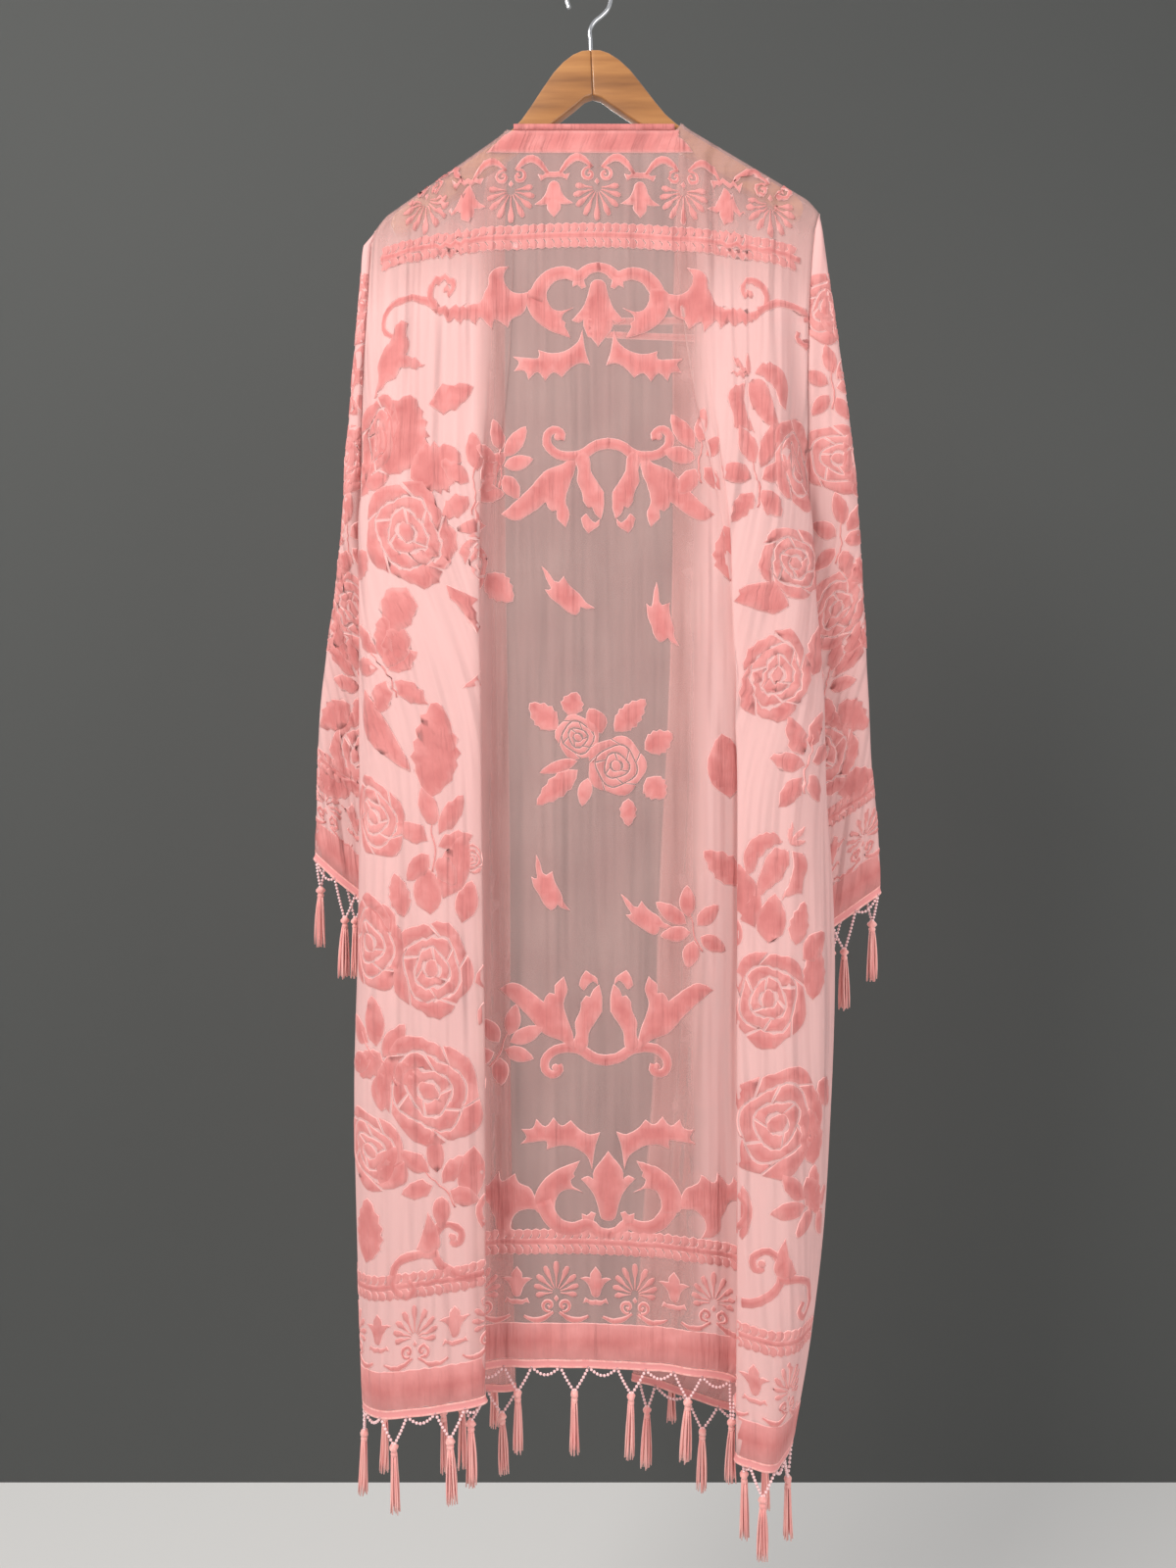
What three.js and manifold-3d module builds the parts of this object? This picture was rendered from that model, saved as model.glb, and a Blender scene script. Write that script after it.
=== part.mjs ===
// Long open jacket in sheer figured velvet, edged with beaded tassel trim, hung on a wooden hanger.
// Millimetres, +Z up, the back of the jacket faces -Y, origin at the inner top of the hanger's hook.
import * as THREE from "three";
import * as BufferGeometryUtils from "three/addons/utils/BufferGeometryUtils.js";
import Module from "manifold-3d";

// Cloth
const clothThickness = 1.2;
const seamGap = 0.3;
const armholeGap = 0.75;
const trimGap = 0.35;
const shoulderTipReach = 221;
const shoulderTipSag = 4.5;
const neckPointReach = 88;
const neckLineZ = -157.5;
const bindingHeight = 6.5;
const bindingThickness = 2;

// Wooden hanger, its outline as reach from the middle and height
const hangerTilt = THREE.MathUtils.degToRad(2.2);
const barThickness = 12.5;
const barTop = [
  { reach: 0, z: -75 }, { reach: 9, z: -75.5 }, { reach: 18, z: -79 }, { reach: 28, z: -86 },
  { reach: 38, z: -96 }, { reach: 50, z: -112 }, { reach: 62, z: -129 }, { reach: 72, z: -142 },
  { reach: 82, z: -151.5 }, { reach: 98, z: -163 }, { reach: 200, z: -229.3 },
];
const barEnd = [
  { reach: 204, z: -234 }, { reach: 206, z: -241 }, { reach: 203, z: -248.5 },
  { reach: 196, z: -251.5 },
];
const barUnderside = [
  { reach: 98, z: -185.5 }, { reach: 48, z: -152 }, { reach: 18, z: -130.5 }, { reach: 8, z: -122.5 },
  { reach: 0, z: -120 },
];
const clearOfBar = barThickness / 2 + seamGap + clothThickness / 2 + 0.35;
const hookWire = 4;
const hookInnerRadius = 20;

// Trim
const headerHeight = 8;
const headerThickness = 1.5;
const tasselPitch = 54;
const edgeTasselPitch = 56;
const beadDrop = 21;
const beadLegRadius = 0.62;
const tasselHead = 13;
const tasselSkirt = 53;

// One row for each level of the body, from the shoulder seam to the hem.
// drop is the share of the way down, wrap is 0 at the armhole and 1 at a side seam, turned is 1
// where the front edge is turned back, and the others are the Y of the layers.
const levels = [
  { drop: 0, seamBack: -0.15, seamFront: 0.15, centre: -8.4, front: 8.4, wrap: 0, turned: 0 },
  { drop: 0, seamBack: -4, seamFront: 4, centre: -8.4, front: 8.4, wrap: 0, turned: 0 },
  { drop: 0.012, seamBack: -4, seamFront: 4, centre: -8.6, front: 8.8, wrap: 0, turned: 1 },
  { drop: 0.05, seamBack: -3, seamFront: 5, centre: -9.5, front: 11, wrap: 0, turned: 1 },
  { drop: 0.11, seamBack: 0, seamFront: 8, centre: -10.5, front: 15, wrap: 0, turned: 1 },
  { drop: 0.16, seamBack: 5, seamFront: 11, centre: -11, front: 18, wrap: 0, turned: 1 },
  { drop: 0.205, seamBack: 10.5, seamFront: 12.6, centre: -11, front: 20, wrap: 0, turned: 1 },
  { drop: 0.245, seamBack: 13.35, seamFront: 13.65, centre: -11, front: 22, wrap: 1, turned: 1 },
  { drop: 0.31, seamBack: 13.85, seamFront: 14.15, centre: -11, front: 24, wrap: 1, turned: 1 },
  { drop: 0.4, seamBack: 13.85, seamFront: 14.15, centre: -11, front: 26, wrap: 1, turned: 1 },
  { drop: 0.5, seamBack: 13.85, seamFront: 14.15, centre: -11.5, front: 29, wrap: 1, turned: 1 },
  { drop: 0.62, seamBack: 13.85, seamFront: 14.15, centre: -12, front: 31, wrap: 1, turned: 1 },
  { drop: 0.74, seamBack: 13.85, seamFront: 14.15, centre: -13, front: 34, wrap: 1, turned: 1 },
  { drop: 0.87, seamBack: 13.85, seamFront: 14.15, centre: -14, front: 37, wrap: 1, turned: 1 },
  { drop: 1, seamBack: 13.85, seamFront: 14.15, centre: -15, front: 40, wrap: 1, turned: 1 },
];

// The same rows for each side: outer is the reach of the side, flute the Y of the side fold,
// fold the reach of its edge, open how far it has opened, overlap how far it lies over the
// middle, and edge the reach of the front edge.
const leftSide = {
  sign: -1,
  turnBack: 11,
  rows: [
    { outer: 221, flute: -8.4, fold: 96, open: 0, overlap: 0, edge: 88 },
    { outer: 221, flute: -8.4, fold: 96, open: 0, overlap: 0, edge: 88 },
    { outer: 216, flute: -9, fold: 96, open: 0, overlap: 0, edge: 83 },
    { outer: 219, flute: -12, fold: 97, open: 0, overlap: 0, edge: 84 },
    { outer: 224, flute: -16, fold: 99, open: 0, overlap: 0, edge: 85 },
    { outer: 227, flute: -19, fold: 101, open: 0, overlap: 0, edge: 85 },
    { outer: 229, flute: -22, fold: 103, open: 0.05, overlap: 14, edge: 85 },
    { outer: 230, flute: -25, fold: 105, open: 0.15, overlap: 22, edge: 85 },
    { outer: 230, flute: -29, fold: 107, open: 0.4, overlap: 30, edge: 85 },
    { outer: 230, flute: -34, fold: 106, open: 0.75, overlap: 36, edge: 84 },
    { outer: 230, flute: -39, fold: 104, open: 1, overlap: 38, edge: 82 },
    { outer: 230, flute: -44, fold: 102, open: 1, overlap: 40, edge: 80 },
    { outer: 230, flute: -49, fold: 100, open: 1, overlap: 42, edge: 79 },
    { outer: 227, flute: -54, fold: 99, open: 1, overlap: 43, edge: 77 },
    { outer: 216, flute: -58, fold: 98, open: 1, overlap: 44, edge: 75 },
  ],
  backHem: [-1415, -1413, -1408, -1399, -1392, -1388, -1386, -1382, -1378, -1375],
  frontHem: [-1415, -1416, -1419, -1423, -1426, -1426, -1427, -1427],
};
const rightSide = {
  sign: 1,
  turnBack: 25,
  rows: [
    { outer: 221, flute: -8.4, fold: 96, open: 0, overlap: 0, edge: 88 },
    { outer: 221, flute: -8.4, fold: 96, open: 0, overlap: 0, edge: 88 },
    { outer: 226, flute: -9, fold: 102, open: 0, overlap: 0, edge: 92 },
    { outer: 222, flute: -12, fold: 107, open: 0, overlap: 0, edge: 89 },
    { outer: 220, flute: -15, fold: 114, open: 0, overlap: 0, edge: 87 },
    { outer: 221, flute: -18, fold: 120, open: 0, overlap: 0, edge: 86 },
    { outer: 222, flute: -21, fold: 126, open: 0.1, overlap: 14, edge: 86 },
    { outer: 224, flute: -24, fold: 132, open: 0.25, overlap: 20, edge: 86 },
    { outer: 229, flute: -28, fold: 140, open: 0.5, overlap: 26, edge: 86 },
    { outer: 235, flute: -32, fold: 145, open: 0.75, overlap: 32, edge: 84 },
    { outer: 238, flute: -37, fold: 149, open: 1, overlap: 36, edge: 80 },
    { outer: 240, flute: -42, fold: 152, open: 1, overlap: 38, edge: 74 },
    { outer: 235, flute: -47, fold: 153, open: 1, overlap: 34, edge: 70 },
    { outer: 221, flute: -52, fold: 151, open: 1, overlap: 26, edge: 58 },
    { outer: 192, flute: -56, fold: 147, open: 1, overlap: 13, edge: 46 },
  ],
  backHem: [-1461, -1460, -1457, -1453, -1450, -1446, -1440, -1426, -1406, -1386],
  frontHem: [-1461, -1460, -1456, -1440, -1421, -1416, -1418, -1420],
};
const centreHem = -1374;
const backSpans = [1, 2, 2, 1, 2, 2, 2, 2, 2, 3];
const frontSpans = [1, 2, 3, 2, 2, 1, 2];
const neckColumn = 10;

// Sleeves: from row to row, outer and inner are the reach of the two folds, and the rest are Y.
// The rows down to the underarm start at the armhole, so they have no inner fold of their own.
const sleeveSpans = [2, 4, 3, 3, 4, 2];
const armholeRows = [
  { near: -5, fold: 0, far: 5 }, { near: -5, fold: 2, far: 8 }, { near: -2, fold: 6, far: 13 },
  { near: 4, fold: 12, far: 20 }, { near: 9, fold: 18, far: 27 },
];
const hangingRows = [
  { inner: 229, seam: 34, near: 25, fold: 33, far: 46 },
  { inner: 208, seam: 45, near: 34, fold: 42, far: 58 },
  { inner: 176, seam: 51, near: 39, fold: 48, far: 66 },
  { inner: 159, seam: 55, near: 43, fold: 52, far: 72 },
  { inner: 151, seam: 58, near: 46, fold: 55, far: 76 },
  { inner: 147, seam: 60, near: 48, fold: 57, far: 79 },
];
const leftSleeve = {
  firstInner: 232,
  outer: [224, 228, 235, 241, 246, 251, 258, 265, 271, 276, 281],
  cuffOuterZ: -876,
  cuffInnerZ: -990,
};
const rightSleeve = {
  firstInner: 226.5,
  outer: [234, 241, 253, 261, 266, 271, 276, 281, 286, 290, 294],
  cuffOuterZ: -911,
  cuffInnerZ: -1020,
};

const wasm = await Module();
wasm.setup();
const { lerp, clamp } = THREE.MathUtils;

const colours = {
  velvet: { color: 0xe39a98, roughness: 0.75, metalness: 0 },
  trim: { color: 0xd98f84, roughness: 0.7, metalness: 0 },
  wood: { color: 0xb9793d, roughness: 0.45, metalness: 0 },
  steel: { color: 0xc4c6c8, roughness: 0.25, metalness: 1 },
};

function makeMesh(name, geometry, finish) {
  const mesh = new THREE.Mesh(geometry, new THREE.MeshStandardMaterial(colours[finish]));
  mesh.name = name;
  return mesh;
}

// Joined triangles of a geometry, with no normals or uv, so its corners are shared.
function weld(geometry) {
  geometry.deleteAttribute("normal");
  geometry.deleteAttribute("uv");
  return BufferGeometryUtils.mergeVertices(geometry, 1e-4);
}

function toManifold(geometry) {
  const welded = weld(geometry);
  return new wasm.Manifold(new wasm.Mesh({
    numProp: 3,
    vertProperties: new Float32Array(welded.attributes.position.array),
    triVerts: new Uint32Array(welded.index.array),
  }));
}

function fromManifold(solid) {
  const mesh = solid.getMesh();
  const geometry = new THREE.BufferGeometry();
  geometry.setAttribute("position", new THREE.BufferAttribute(mesh.vertProperties, 3));
  geometry.setIndex(new THREE.BufferAttribute(mesh.triVerts, 1));
  return geometry;
}

// A point of the upright hanger, turned by the hanger's tilt.
function tilted(x, y, z) {
  const cos = Math.cos(hangerTilt);
  const sin = Math.sin(hangerTilt);
  return new THREE.Vector3(x * cos - z * sin, y, x * sin + z * cos);
}

function barTopAt(reach) {
  const found = barTop.findIndex((point) => point.reach > reach);
  const next = found < 0 ? barTop.length - 1 : found;
  const a = barTop[next - 1];
  const b = barTop[next];
  return lerp(a.z, b.z, (reach - a.reach) / (b.reach - a.reach));
}

// Catmull-Rom through rows of numbers, with a count of steps for each span.
function sampleSpans(controls, spans) {
  const samples = [controls[0]];
  const last = controls.length - 1;
  const at = (index) => {
    if (index < 0) return controls[0].map((value, n) => 2 * value - controls[1][n]);
    if (index > last) return controls[last].map((value, n) => 2 * value - controls[last - 1][n]);
    return controls[index];
  };
  spans.forEach((steps, span) => {
    const [p0, p1, p2, p3] = [at(span - 1), at(span), at(span + 1), at(span + 2)];
    for (let step = 1; step <= steps; step += 1) {
      const t = step / steps;
      samples.push(p1.map((value, n) => {
        const slopeIn = (p2[n] - p0[n]) / 2;
        const slopeOut = (p3[n] - value) / 2;
        const bend = 2 * value - 2 * p2[n] + slopeIn + slopeOut;
        const curve = -3 * value + 3 * p2[n] - 2 * slopeIn - slopeOut;
        return ((bend * t + curve) * t + slopeIn) * t + value;
      }));
    }
  });
  return samples;
}

// Normals of a grid of points, by differences along its rows and columns.
function gridNormals(grid) {
  return grid.map((row, i) => row.map((point, j) => {
    const above = grid[Math.max(i - 1, 0)][j];
    const below = grid[Math.min(i + 1, grid.length - 1)][j];
    const before = row[Math.max(j - 1, 0)];
    const after = row[Math.min(j + 1, row.length - 1)];
    const down = below.clone().sub(point).normalize().add(point.clone().sub(above).normalize());
    const along = after.clone().sub(point).normalize().add(point.clone().sub(before).normalize());
    return down.cross(along).normalize();
  }));
}

function setNormal(normals, i, j, wanted) {
  const sign = wanted.dot(normals[i][j]) < 0 ? -1 : 1;
  normals[i][j] = wanted.clone().normalize().multiplyScalar(sign);
}

// A closed wall of the given thickness about a grid of points.
function clothWall(grid, normals, thickness) {
  const rows = grid.length;
  const columns = grid[0].length;
  const positions = [];
  for (const side of [1, -1]) {
    grid.forEach((row, i) => row.forEach((point, j) => {
      const moved = point.clone().addScaledVector(normals[i][j], side * thickness / 2);
      positions.push(moved.x, moved.y, moved.z);
    }));
  }
  const faces = [];
  const id = (side, i, j) => (side * rows + i) * columns + j;
  const quad = (a, b, c, d) => faces.push(a, b, c, a, c, d);
  for (let i = 0; i < rows - 1; i += 1) {
    for (let j = 0; j < columns - 1; j += 1) {
      quad(id(0, i, j), id(0, i + 1, j), id(0, i + 1, j + 1), id(0, i, j + 1));
      quad(id(1, i, j), id(1, i, j + 1), id(1, i + 1, j + 1), id(1, i + 1, j));
    }
    quad(id(0, i, 0), id(1, i, 0), id(1, i + 1, 0), id(0, i + 1, 0));
    const end = columns - 1;
    quad(id(0, i, end), id(0, i + 1, end), id(1, i + 1, end), id(1, i, end));
  }
  for (let j = 0; j < columns - 1; j += 1) {
    quad(id(0, 0, j), id(0, 0, j + 1), id(1, 0, j + 1), id(1, 0, j));
    const end = rows - 1;
    quad(id(0, end, j), id(1, end, j), id(1, end, j + 1), id(0, end, j + 1));
  }
  if (enclosedVolume(positions, faces) < 0) faces.reverse();
  const geometry = new THREE.BufferGeometry();
  geometry.setAttribute("position", new THREE.BufferAttribute(new Float32Array(positions), 3));
  geometry.setIndex(faces);
  return geometry;
}

// Six times the volume inside the faces, below zero when they point inwards.
function enclosedVolume(positions, faces) {
  const corner = (n) => new THREE.Vector3().fromArray(positions, 3 * faces[n]);
  let volume = 0;
  for (let n = 0; n < faces.length; n += 3) {
    volume += corner(n).dot(corner(n + 1).cross(corner(n + 2)));
  }
  return volume;
}

// Controls across one half of the back, from side seam to middle: reach, Y and hem height.
function backControls(side, rowIndex) {
  const level = levels[rowIndex];
  const { outer, flute, fold, open, overlap } = side.rows[rowIndex];
  const depth = level.centre - flute;
  const rounded = outer - lerp(30, 22, level.wrap);
  const nearFold = fold + 16;
  const places = [
    [outer, level.seamBack],
    [outer - lerp(12, 2, level.wrap), level.seamBack - lerp(3.4, 14, level.wrap)],
    [rounded, lerp(flute, level.seamBack, 0.22 * level.wrap)],
    [(rounded + nearFold) / 2, flute],
    [nearFold, flute],
    [fold, flute + 0.12 * depth],
    [lerp(fold - 8, fold + 0.45 * overlap, open), flute + 0.36 * depth],
    [lerp(fold - 16, fold + overlap, open), flute + 0.6 * depth],
    [lerp(fold - 24, fold + 0.45 * overlap, open), flute + 0.82 * depth],
    [lerp(fold - 32, fold - 8, open), level.centre],
  ];
  return places.map(([reach, y], n) => [side.sign * reach, y, side.backHem[n]]);
}

// Controls across a front, from side seam to front edge, whose last strip is turned back.
function frontControls(side, rowIndex) {
  const level = levels[rowIndex];
  const { outer, edge } = side.rows[rowIndex];
  const fold = edge + 4 * (1 - level.turned);
  const places = [
    [outer, level.seamFront],
    [outer - lerp(12, 4, level.wrap), level.seamFront + lerp(3.4, 9, level.wrap)],
    [outer - 30, level.front],
    [(outer + edge) / 2, level.front + 3 * level.drop],
    [edge + 22, level.front],
    [fold, level.front + 2 * level.turned],
    [edge + lerp(2, side.turnBack * 0.5, level.turned), level.front + 7 * level.turned],
    [edge + side.turnBack * level.turned, level.front + 9 * level.turned],
  ];
  return places.map(([reach, y], n) => [side.sign * reach, y, side.frontHem[n]]);
}

// A point on the line where the cloth crosses the top of the hanger.
function shoulderPoint(x, y) {
  const reach = Math.abs(x);
  const past = clamp((reach - 205) / (shoulderTipReach - 205), 0, 1);
  const lift = seamGap + clothThickness / 2 + (reach > neckPointReach + 1 ? 0.1 : 1);
  return tilted(x, y, barTopAt(reach) + lift - shoulderTipSag * past * past);
}

// Row 0 is the seam or neckline, row 1 is where the cloth turns down over the hanger.
function crossingY(x, rowIndex, facing) {
  if (rowIndex === 0) return facing * seamGap / 2;
  const past = clamp((Math.abs(x) - 209) / (shoulderTipReach - 209), 0, 1);
  return facing * lerp(clearOfBar, 4, past);
}

function backPoint(sample, rowIndex, column, lastColumn) {
  const [x, y] = sample;
  const fromEnd = Math.min(column, lastColumn - column);
  if (rowIndex > 1) return new THREE.Vector3(x, y, 0);
  if (fromEnd <= neckColumn) return shoulderPoint(x, crossingY(x, rowIndex, -1));
  if (fromEnd === neckColumn + 1) {
    const corner = shoulderPoint(Math.sign(x) * (neckPointReach - 1.5), -clearOfBar - 0.4);
    corner.z -= 1.5 * rowIndex;
    return corner;
  }
  const level = tilted(x, levels[rowIndex].centre, neckLineZ);
  return new THREE.Vector3(level.x, level.y, neckLineZ - 3 * rowIndex);
}

function makeBack() {
  const spans = [...backSpans, ...[...backSpans].reverse()];
  const grid = levels.map((level, rowIndex) => {
    const controls = [
      ...backControls(leftSide, rowIndex),
      [0, level.centre, centreHem],
      ...backControls(rightSide, rowIndex).reverse(),
    ];
    const samples = sampleSpans(controls, spans);
    const last = samples.length - 1;
    return samples.map((sample, column) => ({
      point: backPoint(sample, rowIndex, column, last),
      hem: sample[2],
    }));
  });
  const points = dropRows(grid);
  const normals = gridNormals(points);
  const last = points[0].length - 1;
  for (let j = neckColumn + 2; j <= last - neckColumn - 2; j += 1) {
    setNormal(normals, 0, j, new THREE.Vector3(0, -1, 0));
  }
  points.forEach((row, i) => {
    if (!levels[i].wrap) return;
    setNormal(normals, i, 0, new THREE.Vector3(-1, 0, 0));
    setNormal(normals, i, last, new THREE.Vector3(1, 0, 0));
  });
  return { points, normals };
}

function makeFront(side) {
  const grid = levels.map((level, rowIndex) => {
    const samples = sampleSpans(frontControls(side, rowIndex), frontSpans);
    return samples.map(([x, y, hem]) => {
      const crossing = rowIndex < 2;
      const point = crossing ? shoulderPoint(x, crossingY(x, rowIndex, 1)) : new THREE.Vector3(x, y, 0);
      return { point, hem };
    });
  });
  const points = dropRows(grid);
  const normals = gridNormals(points);
  points.forEach((row, i) => {
    if (levels[i].wrap) setNormal(normals, i, 0, new THREE.Vector3(side.sign, 0, 0));
  });
  return { points, normals };
}

// Heights of the rows below the crossing, by the share of the way from shoulder or neck to hem.
function dropRows(grid) {
  const start = grid[1].map(({ point }) => point.z);
  return grid.map((row, i) => row.map(({ point, hem }, j) => {
    if (i > 1) point.z = lerp(start[j], hem, levels[i].drop);
    return point;
  }));
}

// The armhole vertex of a body panel at a row, moved out by the seam gap, with its normal.
function armholeEdge(panel, row, column, inwards) {
  const edge = panel.points[row][column];
  const out = edge.clone().sub(panel.points[row][column + inwards]).setZ(0).normalize();
  return { point: edge.clone().addScaledVector(out, armholeGap), normal: panel.normals[row][column] };
}

function makeSleeve(side, sleeve, back, backColumn, front) {
  const inwards = side.sign < 0 ? 1 : -1;
  const columns = sleeveSpans.reduce((sum, steps) => sum + steps, 0);
  const ends = [];
  const points = [];
  // The cap lies across the shoulder tip.
  const capBack = armholeEdge(back, 1, backColumn, inwards);
  const capFront = armholeEdge(front, 1, 0, 1);
  ends.push([capBack.normal, capFront.normal]);
  points.push(Array.from({ length: columns + 1 }, (_, j) => {
    return capBack.point.clone().lerp(capFront.point, j / columns);
  }));
  armholeRows.forEach((shape, index) => {
    const start = armholeEdge(back, index + 2, backColumn, inwards);
    const end = armholeEdge(front, index + 2, 0, 1);
    const inner = Math.abs(start.point.x);
    const width = sleeve.outer[index] - inner;
    const ring = sampleSpans([
      [inner, start.point.y],
      [inner + 0.3 * width, lerp(start.point.y, shape.near, 0.55)],
      [inner + 0.8 * width, lerp(shape.near, shape.fold, 0.3)],
      [sleeve.outer[index], shape.fold],
      [inner + 0.8 * width, lerp(shape.far, shape.fold, 0.25)],
      [inner + 0.3 * width, lerp(end.point.y, shape.far, 0.55)],
      [inner, end.point.y],
    ], sleeveSpans);
    ends.push([start.normal, end.normal]);
    points.push(ring.map(([reach, y]) => new THREE.Vector3(side.sign * reach, y, start.point.z)));
  });
  const underarmZ = points[points.length - 1][0].z;
  hangingRows.forEach((shape, index) => {
    const share = (index + 1) / hangingRows.length;
    const outer = sleeve.outer[armholeRows.length + index];
    const inner = index ? shape.inner : sleeve.firstInner;
    const width = outer - inner;
    const ring = sampleSpans([
      [inner, shape.seam - seamGap / 2],
      [inner + 0.12 * width, shape.near + 2],
      [inner + 0.85 * width, shape.near],
      [outer, shape.fold],
      [inner + 0.85 * width, lerp(shape.far, shape.fold, 0.2)],
      [inner + 0.12 * width, shape.far],
      [inner, shape.seam + seamGap / 2],
    ], sleeveSpans);
    const inward = new THREE.Vector3(-side.sign, 0, 0);
    ends.push([inward, inward]);
    points.push(ring.map(([reach, y]) => {
      const across = (reach - inner) / width;
      const innerZ = lerp(underarmZ, sleeve.cuffInnerZ, share);
      const outerZ = lerp(underarmZ, sleeve.cuffOuterZ, share);
      return new THREE.Vector3(side.sign * reach, y, lerp(innerZ, outerZ, across));
    }));
  });
  const normals = gridNormals(points);
  points.forEach((row, i) => {
    if (i === 0) {
      const up = back.normals[0][backColumn];
      row.forEach((_, j) => setNormal(normals, 0, j, up));
    }
    setNormal(normals, i, 0, ends[i][0]);
    setNormal(normals, i, columns, ends[i][1]);
  });
  return { points, normals };
}

// Rings of few corners stacked along a line, closed at both ends: the form of every strand and knot.
function stackedRings(rings, sides) {
  const axis = rings[rings.length - 1].centre.clone().sub(rings[0].centre).normalize();
  const across = new THREE.Vector3(0, 1, 0).cross(axis).normalize();
  const other = axis.clone().cross(across);
  const positions = [];
  rings.forEach(({ centre, radius }) => {
    for (let side = 0; side < sides; side += 1) {
      const angle = (side + 0.25) * 2 * Math.PI / sides;
      const corner = centre.clone()
        .addScaledVector(across, radius * Math.cos(angle))
        .addScaledVector(other, radius * Math.sin(angle));
      positions.push(corner.x, corner.y, corner.z);
    }
  });
  const faces = [];
  const end = sides * (rings.length - 1);
  for (let side = 0; side < sides; side += 1) {
    const next = (side + 1) % sides;
    for (let low = 0; low < end; low += sides) {
      faces.push(low + side, low + next, low + sides + next);
      faces.push(low + side, low + sides + next, low + sides + side);
    }
    if (side > 0 && next > 0) faces.push(0, next, side, end, end + side, end + next);
  }
  if (enclosedVolume(positions, faces) < 0) faces.reverse();
  const geometry = new THREE.BufferGeometry();
  geometry.setAttribute("position", new THREE.BufferAttribute(new Float32Array(positions), 3));
  geometry.setIndex(faces);
  return toManifold(geometry);
}

function strand(start, end, startRadius, endRadius) {
  const rings = [{ centre: start, radius: startRadius }, { centre: end, radius: endRadius }];
  return stackedRings(rings, 3);
}

// A knotted head with three locks of thread below it.
function tassel(top, turn) {
  const down = (drop) => top.clone().add(new THREE.Vector3(0, 0, -drop));
  const solids = [stackedRings([
    { centre: top, radius: 1.4 },
    { centre: down(tasselHead * 0.5), radius: 4.6 },
    { centre: down(tasselHead), radius: 3.4 },
  ], 4)];
  for (let lock = 0; lock < 3; lock += 1) {
    const angle = turn + lock * 2 * Math.PI / 3;
    const spread = new THREE.Vector3(Math.cos(angle), Math.sin(angle), 0);
    const root = down(tasselHead - 1.5).addScaledVector(spread, 1.3);
    const tip = down(tasselHead + tasselSkirt).addScaledVector(spread, 3.8);
    solids.push(strand(root, tip, 0.9, 1.9));
  }
  return solids;
}

// The points at even steps along a row of points.
function evenPoints(path, steps) {
  const curve = new THREE.CurvePath();
  for (let n = 1; n < path.length; n += 1) {
    curve.add(new THREE.LineCurve3(path[n - 1], path[n]));
  }
  return Array.from({ length: steps + 1 }, (_, n) => curve.getPointAt(n / steps));
}

// A header strip just off a cloth edge, with tassels that hang from its border on two bead legs.
function makeTrim(edge, pitch, hang) {
  const header = [trimGap, trimGap + headerHeight].map((away) => edge.map(({ point, out }) => {
    return point.clone().addScaledVector(out, away);
  }));
  const normals = header.map(() => edge.map(({ normal }) => normal));
  const solids = [toManifold(clothWall(header, normals, headerThickness))];
  const border = edge.map(({ point, out }) => {
    return point.clone().addScaledVector(out, trimGap + headerHeight - 0.8);
  });
  let length = 0;
  for (let n = 1; n < border.length; n += 1) length += border[n].distanceTo(border[n - 1]);
  const count = Math.max(1, Math.floor(length / pitch));
  const places = evenPoints(border, 4 * count);
  for (let n = 0; n < count; n += 1) {
    const legs = [places[4 * n + 1], places[4 * n + 3]];
    const top = hang(legs[0], legs[1], n);
    legs.forEach((root) => {
      const side = root.clone().sub(top).setZ(0).normalize();
      const foot = top.clone().addScaledVector(side, 1.4).add(new THREE.Vector3(0, 0, -4.5));
      solids.push(strand(root, foot, beadLegRadius, beadLegRadius));
    });
    solids.push(...tassel(top, n));
  }
  return fromManifold(wasm.Manifold.union(solids));
}

// Along a hem or cuff the two bead legs of a tassel meet straight below the header.
function hangFromHem(left, right) {
  const middle = left.clone().lerp(right, 0.5);
  middle.z = Math.min(left.z, right.z) - beadDrop;
  return middle;
}

// Down a front edge the tassels hang clear of each other, nearer and farther in turn.
function hangFromEdge(sign) {
  return (upper, lower, n) => {
    const middle = upper.clone().lerp(lower, 0.5);
    middle.x += sign * (n % 2 ? 7 : 6);
    middle.y += n % 2 ? 13 : 2;
    middle.z = lower.z - 6;
    return middle;
  };
}

// For each point of a cloth edge, the way out of the cloth, square to the edge.
function edgeOf(line, inner, normals) {
  return line.map((point, n) => {
    const along = line[Math.min(n + 1, line.length - 1)].clone().sub(line[Math.max(n - 1, 0)]);
    along.normalize();
    const out = point.clone().sub(inner[n]);
    out.addScaledVector(along, -out.dot(along)).normalize();
    return { point, out, normal: normals[n] };
  });
}

function rowEdge(panel, row) {
  return edgeOf(panel.points[row], panel.points[row - 1], panel.normals[row]);
}

function columnEdge(panel, fromRow) {
  const last = panel.points[0].length - 1;
  const column = (grid, index) => grid.slice(fromRow).map((row) => row[index]);
  return edgeOf(column(panel.points, last), column(panel.points, last - 1), column(panel.normals, last));
}

function makeBinding(back) {
  const last = back.points[0].length - 1;
  const line = back.points[0].slice(neckColumn + 2, last - neckColumn - 1);
  const grid = [trimGap, trimGap + bindingHeight].map((rise) => {
    return line.map((point) => new THREE.Vector3(point.x, point.y - 0.2, point.z + rise));
  });
  const outward = line.map(() => new THREE.Vector3(0, -1, 0));
  return clothWall(grid, [outward, outward], bindingThickness);
}

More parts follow.
